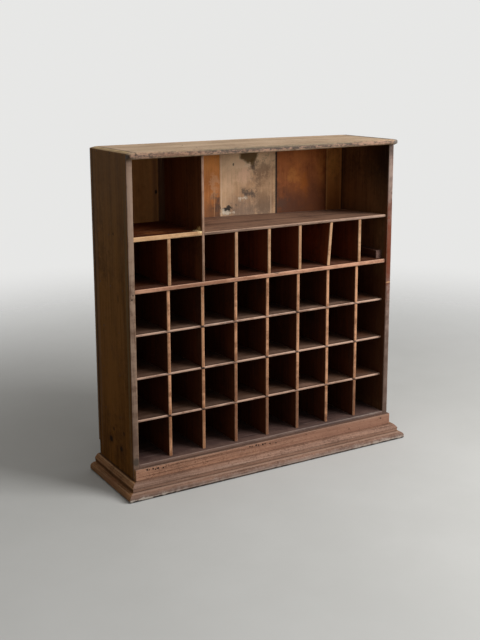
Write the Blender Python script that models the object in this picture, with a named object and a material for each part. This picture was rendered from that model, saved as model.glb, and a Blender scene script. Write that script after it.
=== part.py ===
"""Antique pigeonhole cabinet: a plain board case on a mitred plinth.

Eight columns of cubbies stand under two open compartments. The four lower rows are an
egg-crate grid of cross-lapped slats. The upper row has short loose dividers, one of
which has tipped over a little. Metres, +Z up, front towards -Y, standing on z = 0.
"""
from math import cos, pi, radians, sin

import bmesh
import bpy
from mathutils import Matrix, Vector

# Case
CASE_WIDTH = 1.000
CASE_HEIGHT = 1.066
SIDE_THICKNESS = 0.020
SIDE_DEPTH = 0.262
TOP_THICKNESS = 0.0205
TOP_OVERHANG = 0.024
TOP_CORNER_RADIUS = 0.009
TOP_EDGE_ROUND = 0.0035
TOP_EDGE_STEPS = 3
BOTTOM_THICKNESS = 0.018
BOTTOM_LIP = 0.008

# Back boards, from left to right; they are ripped alike to cover the case
BACK_THICKNESS = 0.008
BACK_BOARD_WIDTHS = (0.2325, 0.2335, 0.2245, 0.2170, 0.0925)
BACK_JOINT_GAP = 0.0008

# Egg-crate grid of the lower rows
COLUMN_COUNT = 8
GRID_ROW_COUNT = 4
GRID_ROW_CLEAR = 0.130
LEFT_COLUMN_EXTRA = 0.0035
GRID_DIVIDER_THICKNESS = 0.0105
GRID_DIVIDER_RECESS = 0.016
GRID_SHELF_THICKNESS = 0.007
GRID_SHELF_RECESS = 0.020
LAP_CLEARANCE = 0.0005

# Main shelf and the row of short dividers on it
MAIN_SHELF_THICKNESS = 0.013
MAIN_SHELF_RECESS = 0.007
MAIN_SHELF_END_GAP = 0.003
SHORT_ROW_CLEAR = 0.147
SHORT_DIVIDER_THICKNESS = 0.011
SHORT_DIVIDER_RECESS = 0.012
SHORT_DIVIDER_OFFSETS = (0.0035, 0.0010, 0.0040, 0.0033, 0.0035, 0.0069)
LEANING_DIVIDER = 5
LEAN_ANGLE = radians(4.3)

# Upper compartments, which take the height that is left under the top
LEFT_BLOCK_COLUMNS = 2
PARTITION_THICKNESS = 0.0085
PARTITION_RECESS = 0.008
UPPER_LEFT_THICKNESS = 0.014
UPPER_LEFT_RECESS = 0.007
UPPER_RIGHT_THICKNESS = 0.009
UPPER_RIGHT_RECESS = 0.008

# Plinth: a flat fascia, and a two-member moulding mitred round three sides
FASCIA_THICKNESS = 0.0155
FASCIA_HEIGHT = 0.088
BASE_HEIGHT = 0.024
BASE_PROJECTION = 0.037
BASE_TOP_PROJECTION = 0.021
BASE_FACE_HEIGHT = 0.008
BASE_FOOT_EASE = 0.003
CAP_HEIGHT = 0.027
CAP_PROJECTION = 0.0205
CAP_FILLET_HEIGHT = 0.010
CAP_FILLET_SET_BACK = 0.0020
CAP_TOP_FLAT = 0.004
CAP_BULGE = 0.0018
QUIRK_DEPTH = 0.0020
QUIRK_HEIGHT = 0.0015
ROUND_STEPS = 6

# Cleats and blocks
SHELF_CLEAT_WIDTH = 0.024
SHELF_CLEAT_HEIGHT = 0.028
SHELF_CLEAT_RECESS = 0.026
BOTTOM_CLEAT_SIZE = 0.022
BOTTOM_CLEAT_END_GAP = 0.006
GLUE_BLOCK_COUNT = 3
GLUE_BLOCK_LEG = 0.032
GLUE_BLOCK_LENGTH = 0.070

# Clearance between pieces that touch, and the eased corner of a sawn board
FIT = 0.0003
EASE = 0.0010

# Derived places
INNER_HALF = CASE_WIDTH / 2 - SIDE_THICKNESS
CASE_DEPTH = SIDE_DEPTH + FIT + BACK_THICKNESS
FRONT = (FASCIA_THICKNESS + BASE_PROJECTION + FIT * 2 - CASE_DEPTH) / 2
REAR = FRONT + SIDE_DEPTH
FASCIA_FRONT = FRONT - FIT - FASCIA_THICKNESS
BOTTOM_HEIGHT = FASCIA_HEIGHT + BOTTOM_LIP
GRID_STEP = GRID_ROW_CLEAR + GRID_SHELF_THICKNESS
MAIN_SHELF_Z = BOTTOM_HEIGHT + GRID_ROW_COUNT * GRID_STEP - GRID_SHELF_THICKNESS
SHORT_ROW_Z = MAIN_SHELF_Z + MAIN_SHELF_THICKNESS
UPPER_SHELF_Z = SHORT_ROW_Z + SHORT_ROW_CLEAR
TOP_Z = CASE_HEIGHT - TOP_THICKNESS
COLUMN_CLEAR = (
    2 * INNER_HALF - LEFT_COLUMN_EXTRA - (COLUMN_COUNT - 1) * GRID_DIVIDER_THICKNESS
) / COLUMN_COUNT
COLUMN_STEP = COLUMN_CLEAR + GRID_DIVIDER_THICKNESS
FIRST_DIVIDER_X = -INNER_HALF + LEFT_COLUMN_EXTRA + COLUMN_STEP - GRID_DIVIDER_THICKNESS / 2

# Finishes: linear colour and roughness
FINISHES = {
    "dark_stain": ((0.060, 0.036, 0.022), 0.55),
    "worn_top": ((0.300, 0.195, 0.120), 0.65),
    "back_pine": ((0.190, 0.090, 0.040), 0.60),
    "slat_pine": ((0.240, 0.125, 0.060), 0.60),
    "shelf_pine": ((0.200, 0.120, 0.075), 0.60),
    "plinth_pine": ((0.230, 0.125, 0.080), 0.60),
}


def clear_scene():
    for item in list(bpy.data.objects):
        bpy.data.objects.remove(item, do_unlink=True)


def make_material(name):
    colour, roughness = FINISHES[name]
    finish = bpy.data.materials.new(name)
    finish.use_nodes = True
    shader = finish.node_tree.nodes["Principled BSDF"]
    shader.inputs["Base Color"].default_value = (*colour, 1.0)
    shader.inputs["Roughness"].default_value = roughness
    shader.inputs["Metallic"].default_value = 0.0
    return finish


def divider_x(index):
    """Centre of the grid divider to the right of column number index, counted from 1."""
    return FIRST_DIVIDER_X + (index - 1) * COLUMN_STEP


def grid_shelf_z(index):
    """Underside of grid shelf number index, counted from the top."""
    return MAIN_SHELF_Z - index * GRID_STEP


def add_piece(name, mesh_data, finish, place=(0.0, 0.0, 0.0), ease=0.0):
    """Adds one named piece under the cabinet's empty, its corners eased if wanted."""
    bmesh.ops.recalc_face_normals(mesh_data, faces=mesh_data.faces)
    mesh = bpy.data.meshes.new(name)
    mesh_data.to_mesh(mesh)
    mesh_data.free()
    mesh.materials.append(finishes[finish])
    piece = bpy.data.objects.new(name, mesh)
    piece.location = place
    piece.parent = cabinet
    bpy.context.collection.objects.link(piece)
    if ease > 0.0:
        bevel = piece.modifiers.new("eased_corners", "BEVEL")
        bevel.width = ease
        bevel.segments = 1
        bevel.limit_method = "ANGLE"
        bevel.angle_limit = radians(40)
    return piece


def add_board(name, low, high, finish, ease=EASE):
    """A plain board between two corners, with its origin at its middle."""
    low = Vector(low)
    high = Vector(high)
    board = bmesh.new()
    bmesh.ops.create_cube(board, size=1.0)
    bmesh.ops.scale(board, vec=high - low, verts=board.verts)
    return add_piece(name, board, finish, (low + high) / 2, ease)


def make_prism(outline, push):
    """Extrudes a flat outline of 3-D points along the vector push."""
    prism = bmesh.new()
    face = prism.faces.new([prism.verts.new(point) for point in outline])
    made = bmesh.ops.extrude_face_region(prism, geom=[face])
    moved = [item for item in made["geom"] if isinstance(item, bmesh.types.BMVert)]
    bmesh.ops.translate(prism, vec=push, verts=moved)
    return prism


def add_prism(name, outline, push, finish):
    return add_piece(name, make_prism(outline, push), finish)


def add_side_panels():
    """The sides run the full height of the case, past the ends of the top."""
    for name, side in (("side_panel_left", -1), ("side_panel_right", 1)):
        inner = side * INNER_HALF
        outer = side * CASE_WIDTH / 2
        low = (min(inner, outer), FRONT, 0.0)
        high = (max(inner, outer), REAR, CASE_HEIGHT)
        add_board(name, low, high, "dark_stain")


def add_top_board():
    """The top lies between the sides. Its overhang runs out in front of them in two horns,
    with worn round corners and rounded arrises."""
    half = CASE_WIDTH / 2
    inner = INNER_HALF - FIT
    front = FRONT - TOP_OVERHANG
    notch = FRONT - FIT
    outline = [(half, notch), (inner, notch), (inner, REAR)]
    outline += [(-x, y) for x, y in reversed(outline)]
    for side, first in ((-1, pi), (1, 1.5 * pi)):
        for step in range(ROUND_STEPS + 1):
            angle = first + step * pi / 2 / ROUND_STEPS
            x = side * (half - TOP_CORNER_RADIUS) + TOP_CORNER_RADIUS * cos(angle)
            outline.append((x, front + TOP_CORNER_RADIUS * (1 + sin(angle))))
    board = make_prism([(x, y, TOP_Z) for x, y in outline], (0.0, 0.0, TOP_THICKNESS))
    arrises = []
    for edge in board.edges:
        start, end = [vertex.co for vertex in edge.verts]
        level = abs(start.z - end.z) < TOP_THICKNESS / 2
        if level and (start.y + end.y) / 2 < notch - FIT / 2:
            arrises.append(edge)
    bmesh.ops.bevel(
        board, geom=arrises, offset=TOP_EDGE_ROUND, segments=TOP_EDGE_STEPS, profile=0.5, affect="EDGES"
    )
    add_piece("top_board", board, "worn_top")


def add_bottom_board():
    """The floor of the lowest row, which shows as a lip above the fascia."""
    low = (-INNER_HALF + FIT, FRONT, BOTTOM_HEIGHT - BOTTOM_THICKNESS)
    high = (INNER_HALF - FIT, FRONT + CASE_DEPTH, BOTTOM_HEIGHT)
    add_board("bottom_board", low, high, "shelf_pine")


def add_back_boards():
    """Boards nailed to the rear edges of the sides and the top, standing on the bottom board."""
    ripped = CASE_WIDTH / sum(BACK_BOARD_WIDTHS)
    left = -CASE_WIDTH / 2
    for number, width in enumerate(BACK_BOARD_WIDTHS, start=1):
        right = left + width * ripped
        start = left if number == 1 else left + BACK_JOINT_GAP / 2
        end = right if number == len(BACK_BOARD_WIDTHS) else right - BACK_JOINT_GAP / 2
        low = (start, REAR + FIT, BOTTOM_HEIGHT + FIT)
        high = (end, FRONT + CASE_DEPTH, CASE_HEIGHT)
        add_board("back_board_%d" % number, low, high, "back_pine")
        left = right


def lap_depth(recess):
    """Depth of a lap slot: half of the overlap of the slats, plus a little play."""
    overlap = SIDE_DEPTH - max(GRID_DIVIDER_RECESS, GRID_SHELF_RECESS)
    extra = max(GRID_DIVIDER_RECESS, GRID_SHELF_RECESS) - recess
    return overlap / 2 + extra


def add_grid_dividers():
    """Upright slats, slotted from the front for the grid shelves."""
    front = FRONT + GRID_DIVIDER_RECESS
    slot_end = front + lap_depth(GRID_DIVIDER_RECESS) + LAP_CLEARANCE / 2
    bottom = BOTTOM_HEIGHT + FIT
    top = MAIN_SHELF_Z - FIT
    profile = [(front, bottom), (REAR, bottom), (REAR, top), (front, top)]
    for index in range(1, GRID_ROW_COUNT):
        low = grid_shelf_z(index) - LAP_CLEARANCE
        high = grid_shelf_z(index) + GRID_SHELF_THICKNESS + LAP_CLEARANCE
        profile += [(front, high), (slot_end, high), (slot_end, low), (front, low)]
    push = (GRID_DIVIDER_THICKNESS, 0.0, 0.0)
    for index in range(1, COLUMN_COUNT):
        left = divider_x(index) - GRID_DIVIDER_THICKNESS / 2
        outline = [(left, y, z) for y, z in profile]
        add_prism("grid_divider_%d" % index, outline, push, "slat_pine")


def add_grid_shelves():
    """Level slats, slotted from the rear for the grid dividers."""
    front = FRONT + GRID_SHELF_RECESS
    slot_end = REAR - lap_depth(0.0) + max(GRID_DIVIDER_RECESS, GRID_SHELF_RECESS)
    slot_end -= LAP_CLEARANCE / 2
    left = -INNER_HALF + FIT
    right = INNER_HALF - FIT
    profile = [(left, REAR), (left, front), (right, front), (right, REAR)]
    for index in range(COLUMN_COUNT - 1, 0, -1):
        start = divider_x(index) + GRID_DIVIDER_THICKNESS / 2 + LAP_CLEARANCE
        end = divider_x(index) - GRID_DIVIDER_THICKNESS / 2 - LAP_CLEARANCE
        profile += [(start, REAR), (start, slot_end), (end, slot_end), (end, REAR)]
    push = (0.0, 0.0, GRID_SHELF_THICKNESS)
    for index in range(1, GRID_ROW_COUNT):
        outline = [(x, y, grid_shelf_z(index)) for x, y in profile]
        add_prism("grid_shelf_%d" % index, outline, push, "shelf_pine")


def add_main_shelf():
    """The thick shelf on top of the grid, cut short at its left end."""
    low = (-INNER_HALF + MAIN_SHELF_END_GAP, FRONT + MAIN_SHELF_RECESS, MAIN_SHELF_Z)
    high = (INNER_HALF - FIT, REAR, MAIN_SHELF_Z + MAIN_SHELF_THICKNESS)
    add_board("main_shelf", low, high, "shelf_pine")


def add_short_dividers():
    """Loose boards between the main shelf and the upper shelves."""
    columns = [index for index in range(1, COLUMN_COUNT) if index != LEFT_BLOCK_COLUMNS]
    depth = SIDE_DEPTH - SHORT_DIVIDER_RECESS
    for number, column in enumerate(columns, start=1):
        offset = SHORT_DIVIDER_OFFSETS[(number - 1) % len(SHORT_DIVIDER_OFFSETS)]
        lean = LEAN_ANGLE if number == LEANING_DIVIDER else 0.0
        room = SHORT_ROW_CLEAR - 2 * FIT
        height = (room - SHORT_DIVIDER_THICKNESS * sin(lean)) / cos(lean)
        half = Vector((SHORT_DIVIDER_THICKNESS, depth, height)) / 2
        board = add_board("short_divider_%d" % number, -half, half, "slat_pine")
        middle_z = SHORT_ROW_Z + SHORT_ROW_CLEAR / 2
        board.location = (divider_x(column) + offset, REAR - depth / 2, middle_z)
        board.rotation_euler = (0.0, lean, 0.0)


def add_upper_compartments():
    """The partition, and a shelf on each side of it over the short dividers."""
    x = divider_x(LEFT_BLOCK_COLUMNS)
    face = PARTITION_THICKNESS / 2
    low = (x - face, FRONT + PARTITION_RECESS, SHORT_ROW_Z + FIT)
    high = (x + face, REAR, TOP_Z - FIT)
    add_board("upper_partition", low, high, "slat_pine")
    low = (-INNER_HALF + FIT, FRONT + UPPER_LEFT_RECESS, UPPER_SHELF_Z)
    high = (x - face - FIT, REAR, UPPER_SHELF_Z + UPPER_LEFT_THICKNESS)
    add_board("upper_left_shelf", low, high, "shelf_pine")
    low = (x + face + FIT, FRONT + UPPER_RIGHT_RECESS, UPPER_SHELF_Z)
    high = (INNER_HALF - FIT, REAR, UPPER_SHELF_Z + UPPER_RIGHT_THICKNESS)
    add_board("upper_right_shelf", low, high, "shelf_pine")


def base_profile():
    """Lower member as (projection, height): an upright face under a rounded shoulder."""
    shoulder = BASE_PROJECTION - BASE_TOP_PROJECTION
    rise = BASE_HEIGHT - BASE_FACE_HEIGHT
    points = [(0.0, 0.0), (BASE_PROJECTION - BASE_FOOT_EASE, 0.0)]
    points.append((BASE_PROJECTION, BASE_FOOT_EASE))
    for step in range(ROUND_STEPS + 1):
        angle = step * pi / 2 / ROUND_STEPS
        out = BASE_TOP_PROJECTION + shoulder * cos(angle)
        points.append((out, BASE_FACE_HEIGHT + rise * sin(angle)))
    points.append((0.0, BASE_HEIGHT))
    return points


def cap_profile():
    """Upper member as (projection, height): a quirk, a fillet and a slope that bulges."""
    bottom = BASE_HEIGHT + FIT
    top = BASE_HEIGHT + CAP_HEIGHT
    quirk = bottom + QUIRK_HEIGHT
    fillet = quirk + CAP_FILLET_HEIGHT
    foot = Vector((CAP_PROJECTION - CAP_FILLET_SET_BACK, fillet))
    head = Vector((CAP_TOP_FLAT, top))
    outward = Vector((top - fillet, foot.x - head.x)).normalized()
    points = [(0.0, bottom), (CAP_PROJECTION - QUIRK_DEPTH, bottom)]
    points += [(CAP_PROJECTION - QUIRK_DEPTH, quirk), (CAP_PROJECTION, quirk)]
    points.append((CAP_PROJECTION, fillet))
    for step in range(ROUND_STEPS + 1):
        share = step / ROUND_STEPS
        point = foot.lerp(head, share) + outward * CAP_BULGE * sin(pi * share)
        points.append(tuple(point))
    points.append((0.0, top))
    return points


def add_swept(name, ends):
    """Joins two rings of points, made from one profile, into a closed length of moulding."""
    swept = bmesh.new()
    rings = [[swept.verts.new(point) for point in ring] for ring in ends]
    for ring in rings:
        swept.faces.new(ring)
    count = len(rings[0])
    for index in range(count):
        after = (index + 1) % count
        corner = (rings[0][index], rings[0][after], rings[1][after], rings[1][index])
        swept.faces.new(corner)
    add_piece(name, swept, "plinth_pine")


def add_moulding(name, profile):
    """Runs a profile round the front and both sides, with mitred front corners."""
    half = CASE_WIDTH / 2 + FIT
    front = FASCIA_FRONT - FIT
    mitre = FIT / 2
    left = [(-half - out + mitre, front - out, z) for out, z in profile]
    right = [(half + out - mitre, front - out, z) for out, z in profile]
    add_swept(name + "_front", (left, right))
    for side_name, side in (("_left", -1), ("_right", 1)):
        near = [(side * (half + out), front - out + mitre, z) for out, z in profile]
        far = [(side * (half + out), REAR, z) for out, z in profile]
        add_swept(name + side_name, (near, far))


def add_plinth():
    half = CASE_WIDTH / 2
    low = (-half, FASCIA_FRONT, 0.0)
    high = (half, FRONT - FIT, FASCIA_HEIGHT)
    add_board("plinth_fascia", low, high, "plinth_pine")
    add_moulding("base_moulding", base_profile())
    add_moulding("base_cap", cap_profile())


def add_cleats_and_blocks():
    """The cleat on the main shelf, the bottom board's cleats and the glue blocks."""
    low = (INNER_HALF - FIT - SHELF_CLEAT_WIDTH, FRONT + SHELF_CLEAT_RECESS, SHORT_ROW_Z + FIT)
    high = (INNER_HALF - FIT, REAR, SHORT_ROW_Z + FIT + SHELF_CLEAT_HEIGHT)
    add_board("shelf_cleat", low, high, "shelf_pine")
    top = BOTTOM_HEIGHT - BOTTOM_THICKNESS - FIT
    start = FRONT + GLUE_BLOCK_LEG + BOTTOM_CLEAT_END_GAP
    for name, side in (("bottom_cleat_left", -1), ("bottom_cleat_right", 1)):
        wall = side * (INNER_HALF - FIT)
        face = wall - side * BOTTOM_CLEAT_SIZE
        low = (min(wall, face), start, top - BOTTOM_CLEAT_SIZE)
        high = (max(wall, face), REAR - BOTTOM_CLEAT_END_GAP, top)
        add_board(name, low, high, "back_pine")
    spacing = 2 * INNER_HALF / GLUE_BLOCK_COUNT
    first = -INNER_HALF + spacing / 2
    for number in range(1, GLUE_BLOCK_COUNT + 1):
        left = first + (number - 1) * spacing - GLUE_BLOCK_LENGTH / 2
        corner = (left, FRONT, top)
        outline = [corner, (left, FRONT + GLUE_BLOCK_LEG, top), (left, FRONT, top - GLUE_BLOCK_LEG)]
        add_prism("glue_block_%d" % number, outline, (GLUE_BLOCK_LENGTH, 0.0, 0.0), "back_pine")


clear_scene()
finishes = {name: make_material(name) for name in FINISHES}
cabinet = bpy.data.objects.new("cabinet", None)
bpy.context.collection.objects.link(cabinet)

add_side_panels()
add_top_board()
add_bottom_board()
add_back_boards()
add_grid_dividers()
add_grid_shelves()
add_main_shelf()
add_short_dividers()
add_upper_compartments()
add_plinth()
add_cleats_and_blocks()
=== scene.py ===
"""Looks of an antique pine pigeonhole bookcase: worn boards, nails, camera and light.

Each board of the frame gets a modelled twin with rounded, chipped corners and a wood
finish whose grain runs along the board. Metres, front towards -Y, standing on z = 0.
"""
from math import ceil, cos, pi, radians, sin

import bmesh
import bpy
import numpy as np
from mathutils import Matrix, Vector, geometry, noise


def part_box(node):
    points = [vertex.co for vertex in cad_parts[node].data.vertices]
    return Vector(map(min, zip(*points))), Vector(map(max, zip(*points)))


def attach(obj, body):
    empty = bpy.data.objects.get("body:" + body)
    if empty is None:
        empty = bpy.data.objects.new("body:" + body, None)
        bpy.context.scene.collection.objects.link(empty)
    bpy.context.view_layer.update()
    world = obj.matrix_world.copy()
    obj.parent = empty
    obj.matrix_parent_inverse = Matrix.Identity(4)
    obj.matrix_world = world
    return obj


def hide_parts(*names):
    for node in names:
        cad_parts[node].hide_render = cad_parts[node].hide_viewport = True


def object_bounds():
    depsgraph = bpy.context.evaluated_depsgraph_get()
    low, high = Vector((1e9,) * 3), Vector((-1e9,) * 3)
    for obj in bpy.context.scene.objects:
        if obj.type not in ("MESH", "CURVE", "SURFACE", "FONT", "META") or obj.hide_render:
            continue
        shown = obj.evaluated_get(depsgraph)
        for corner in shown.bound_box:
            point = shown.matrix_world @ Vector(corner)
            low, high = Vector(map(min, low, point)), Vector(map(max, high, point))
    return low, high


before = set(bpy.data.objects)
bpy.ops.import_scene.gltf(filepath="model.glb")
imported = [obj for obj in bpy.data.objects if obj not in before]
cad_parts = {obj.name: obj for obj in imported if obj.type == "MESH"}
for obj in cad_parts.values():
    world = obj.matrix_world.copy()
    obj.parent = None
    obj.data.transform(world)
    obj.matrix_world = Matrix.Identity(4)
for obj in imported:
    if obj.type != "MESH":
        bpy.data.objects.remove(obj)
CAD_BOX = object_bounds()

# Camera, in the photograph's frame
IMAGE_SIZE = (480, 640)
CAMERA_PLACE = (-1.7068, -2.7635, 1.3102)
CAMERA_YAW = radians(29.963)
CAMERA_PITCH = radians(-11.380)
CAMERA_ROLL = radians(-0.382)
FOCAL_PIXELS = 995.6
PRINCIPAL_POINT = (222.64, 266.48)
SENSOR_WIDTH = 36.0

# Light and floor
KEY_PLACE = (1.9, -2.3, 2.0)
KEY_SIZE = 1.8
KEY_POWER = 118.0
TOP_PLACE = (0.2, -0.6, 3.2)
TOP_SIZE = 2.4
TOP_POWER = 26.0
LIGHT_TARGET = (0.0, 0.0, 0.60)
SKY_STRENGTH = 0.15
SKY_COLOUR = (1.0, 0.95, 0.88, 1.0)
BACKDROP_COLOUR = (0.80, 0.80, 0.79, 1.0)
FLOOR_COLOUR = (0.56, 0.56, 0.54, 1.0)
FLOOR_BOUNCE_COLOUR = (0.22, 0.22, 0.21, 1.0)
FLOOR_RADIUS = 9.0
FLOOR_FADE = (0.8, 3.6)
FLOOR_RINGS = 24
FLOOR_SIDES = 96

# Mesh of the boards
X, Y, Z = 0, 1, 2
FINE_STEP = 0.003
COARSE_STEP = 0.012
CELL = 0.026
ROUND_STEPS = 3
SUPPORT = 0.0015
SHARP_ANGLE = radians(42)
BOARD_RADIUS = 0.0012
SLAT_RADIUS = 0.0014
BOARD_BITE = 0.0008
FRONT_REACH = 0.012
CHIP_RATES = (32.0, 105.0)
WAVE_RATE = 3.1
SHIFT_RANGE = 50.0
LAP_CLEARANCE = 0.0005
LAP_MARGIN = 0.001
# Painted shade in the slots where slats cross: its range of strength, and how far back from the front it
# shows.
LAP_SHADE = (0.2, 0.6)
LAP_SHADE_REACH = 0.02
SLOT_START = 0.0008
TOP_CORNER_RADIUS = 0.009
TOP_CORNER_STEPS = 6
TOP_ROUNDING = 0.0055
TOP_JOINT_SHARE = 0.6
TOP_JOINT_MARGIN = 0.0005
TOP_LIP_DEPTH = 0.010
TOP_WORN_DEPTH = 0.003
TOP_WORN_START = 0.1
TOP_WORN_REACH = 0.012
BACK_SEAM = 0.0004
SIDE_END_DROP = 0.0042
SHELF_TWIST = (0.007, -0.011)
LEAN_ANGLE = radians(4.3)
LEANING_DIVIDER = 5
SEED = 20

# Profiles of the plinth moulding
BASE_HEIGHT = 0.024
BASE_PROJECTION = 0.037
BASE_TOP_PROJECTION = 0.021
BASE_FACE_HEIGHT = 0.0125
BASE_FOOT_EASE = 0.004
CAP_HEIGHT = 0.027
CAP_PROJECTION = 0.0200
CAP_FILLET_HEIGHT = 0.0115
CAP_FILLET_OVERHANG = 0.0018
CAP_TOP_FLAT = 0.010
CAP_BULGE = 0.0005
QUIRK_DEPTH = 0.0020
QUIRK_HEIGHT = 0.0015
PROFILE_STEPS = 8
PROFILE_SOFTNESS = 0.0012
MOULDING_BITE = 0.0014
MOULDING_DENTS = 0.25
MOULDING_STRETCH = 0.3
FIT = 0.0003

# Nails, worm holes and other pits
NAIL_RADIUS = 0.0026
NAIL_SIDES = 9
NAIL_RINGS = ((1.0, -0.0002), (0.9, 0.0003), (0.45, 0.0006))
WORM_HOLES = 16
PIT_SIDES = 7
PIT_RINGS = ((0.7, 0.8, 1.0), (1.25, 0.0, 0.0))

# Screen colours of knots, painted shade in recesses and black marks, tints that multiply a colour, and relief
# heights
KNOT_COLOUR = (46, 24, 12)
RECESS_SHADE_COLOUR = (22, 12, 8)
BLACK = (24, 18, 14)
SOIL_AND_SHADE_TINT = (0.64, 0.46, 0.10, 1.0)
DIRT_TINT = (0.30, 0.26, 0.24, 1.0)
SCRATCH_TINT = (0.30, 0.24, 0.20, 1.0)
SCORE_TINT = (0.32, 0.25, 0.21, 1.0)
HOLLOW_TINT = (0.30, 0.22, 0.18, 1.0)
WOOD_RELIEF = 0.0009
IRON_RELIEF = 0.0004

# Light and dark screen colours of bare and of stained wood, and the faces that are bare
RAW = ((150, 118, 84), (104, 76, 50))
STAINED = ((146, 101, 51), (98, 64, 31))
BARE = (("rear", RAW), ("below", RAW))

randoms = np.random.default_rng(SEED)
grid_dividers = ["grid_divider_%d" % number for number in range(1, 8)]
grid_shelves = ["grid_shelf_%d" % number for number in range(1, 4)]
finishes = {}

# Faces and edges that the stains and painted light and shade lie on, and half widths that keep them there
CASE_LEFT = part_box("side_panel_left")[0][X]
RIGHT_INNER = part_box("side_panel_right")[0][X]
SIDE_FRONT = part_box("side_panel_left")[0][Y]
SLAT_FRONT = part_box("grid_divider_1")[0][Y]
SHORT_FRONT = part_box("short_divider_1")[0][Y]
BACK_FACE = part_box("back_board_1")[0][Y]
SKIN = 0.003
EDGE = 0.005
SIDE_SKIN = 0.02
EVERYWHERE = 3.0


def srgb(red, green, blue):
    """Linear colour of a screen colour given from 0 to 255."""
    levels = np.array((red, green, blue)) / 255.0
    linear = np.where(levels <= 0.04045, levels / 12.92, ((levels + 0.055) / 1.055) ** 2.4)
    return (*[float(level) for level in linear], 1.0)


class Nodes:
    """Short calls that build one material's node tree."""

    def __init__(self, name):
        self.material = bpy.data.materials.new(name)
        self.material.use_nodes = True
        self.tree = self.material.node_tree
        self.shader = self.tree.nodes["Principled BSDF"]

    def put(self, socket, value):
        if isinstance(value, bpy.types.NodeSocket):
            self.tree.links.new(value, socket)
        else:
            socket.default_value = value

    def add(self, kind, **settings):
        node = self.tree.nodes.new("ShaderNode" + kind)
        for key, value in settings.items():
            setattr(node, key, value)
        return node

    def attribute(self, name, output):
        return self.add("Attribute", attribute_name=name).outputs[output]

    def fill(self, node, values):
        """Sets a node's inputs in their order, and gives its outputs."""
        for socket, value in zip(node.inputs, values):
            self.put(socket, value)
        return node.outputs

    def surface(self, name, value):
        """Sets one input of the material's shader."""
        self.put(self.shader.inputs[name], value)

    def bump(self, height, strength, distance):
        """Roughens the surface by a height from 0 to 1."""
        node = self.add("Bump")
        for name, value in (("Strength", strength), ("Distance", distance), ("Height", height)):
            self.put(node.inputs[name], value)
        self.surface("Normal", node.outputs[0])

    def math(self, operation, *values):
        return self.fill(self.add("Math", operation=operation), values)[0]

    def times(self, first, second):
        return self.math("MULTIPLY", first, second)

    def vector(self, operation, *values):
        outputs = self.fill(self.add("VectorMath", operation=operation), values)
        return outputs["Value" if operation == "LENGTH" else "Vector"]

    def parts(self, vector):
        return self.fill(self.add("SeparateXYZ"), (vector,))

    def noise(self, vector, factors, detail=2.0, roughness=0.5):
        """Noise from 0 to 1 on a vector that is first multiplied by three factors."""
        node = self.add("TexNoise")
        self.put(node.inputs["Vector"], self.vector("MULTIPLY", vector, factors))
        node.inputs["Scale"].default_value = 1.0
        node.inputs["Detail"].default_value = detail
        node.inputs["Roughness"].default_value = roughness
        return node.outputs["Fac"]

    def sway(self, value, noise_value, amount):
        """A value moved up and down by a noise from 0 to 1, over a span of amount."""
        return self.math("MULTIPLY_ADD", self.math("SUBTRACT", noise_value, 0.5), amount, value)

    def band(self, value, low, high, start=0.0, end=1.0):
        """Smooth step from start to end while a value goes from low to high."""
        node = self.add("MapRange", interpolation_type="SMOOTHSTEP")
        return self.fill(node, (value, low, high, start, end))[0]

    def mix(self, factor, first, second, blend="MIX"):
        node = self.add("Mix", data_type="RGBA", blend_type=blend)
        for index, item in ((0, factor), (6, first), (7, second)):
            self.put(node.inputs[index], item)
        return node.outputs[2]


def add_rings(nodes, grain, ring_rate, warp_size, swirl):
    """Late wood lines of a trunk whose middle runs along the grain, from 0 to 1, and knots."""
    across, through = nodes.parts(grain)[1:3]
    warp = nodes.noise(grain, (1.7, 9.0, 9.0))
    bend = nodes.times(nodes.math("SUBTRACT", warp, 0.5), warp_size)
    spread = nodes.add("TexVoronoi", voronoi_dimensions="2D")
    nodes.put(spread.inputs["Vector"], nodes.vector("MULTIPLY", grain, (2.6, 3.4, 0.0)))
    spread.inputs["Scale"].default_value = 1.0
    chance = nodes.parts(spread.outputs["Color"])
    size = nodes.times(chance[0], 0.055)
    gap = nodes.math("SUBTRACT", size, spread.outputs["Distance"])
    there = nodes.band(chance[1], 0.55, 0.6)
    knot = nodes.times(nodes.band(gap, 0.0, 0.012), there)
    swell = nodes.times(nodes.band(gap, -0.16, 0.0, 0.0, 0.014), there)
    side = nodes.math("ADD", nodes.math("ADD", across, bend), swell)
    if swirl is not None:
        side = nodes.math("ADD", side, swirl)
    deep = nodes.math("ADD", through, nodes.times(bend, 0.6))
    square = nodes.math("ADD", nodes.math("POWER", side, 2.0), nodes.math("POWER", deep, 2.0))
    phase = nodes.math("FRACT", nodes.times(nodes.math("SQRT", square), ring_rate))
    late = nodes.times(nodes.math("POWER", phase, 4.0), nodes.band(phase, 1.0, 0.93))
    return late, knot


def face_mask(nodes, normal, place, side):
    """1 on the faces that look one way: inside the case, its ends, rear, below or above."""
    if side == "inner":
        return nodes.band(nodes.times(normal[0], place[0]), -0.1, -0.3)
    if side == "ends":
        return nodes.band(nodes.math("ABSOLUTE", normal[0]), 0.75, 0.95)
    if side == "rear":
        return nodes.band(normal[1], 0.4, 0.7)
    if side == "below":
        return nodes.band(normal[2], -0.4, -0.7)
    return nodes.band(normal[2], 0.6, 0.9)


def around(nodes, place, at, size):
    """Distance from a point, in shares of three half widths."""
    return nodes.vector("LENGTH", nodes.vector("DIVIDE", nodes.vector("SUBTRACT", place, at), size))


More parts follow.
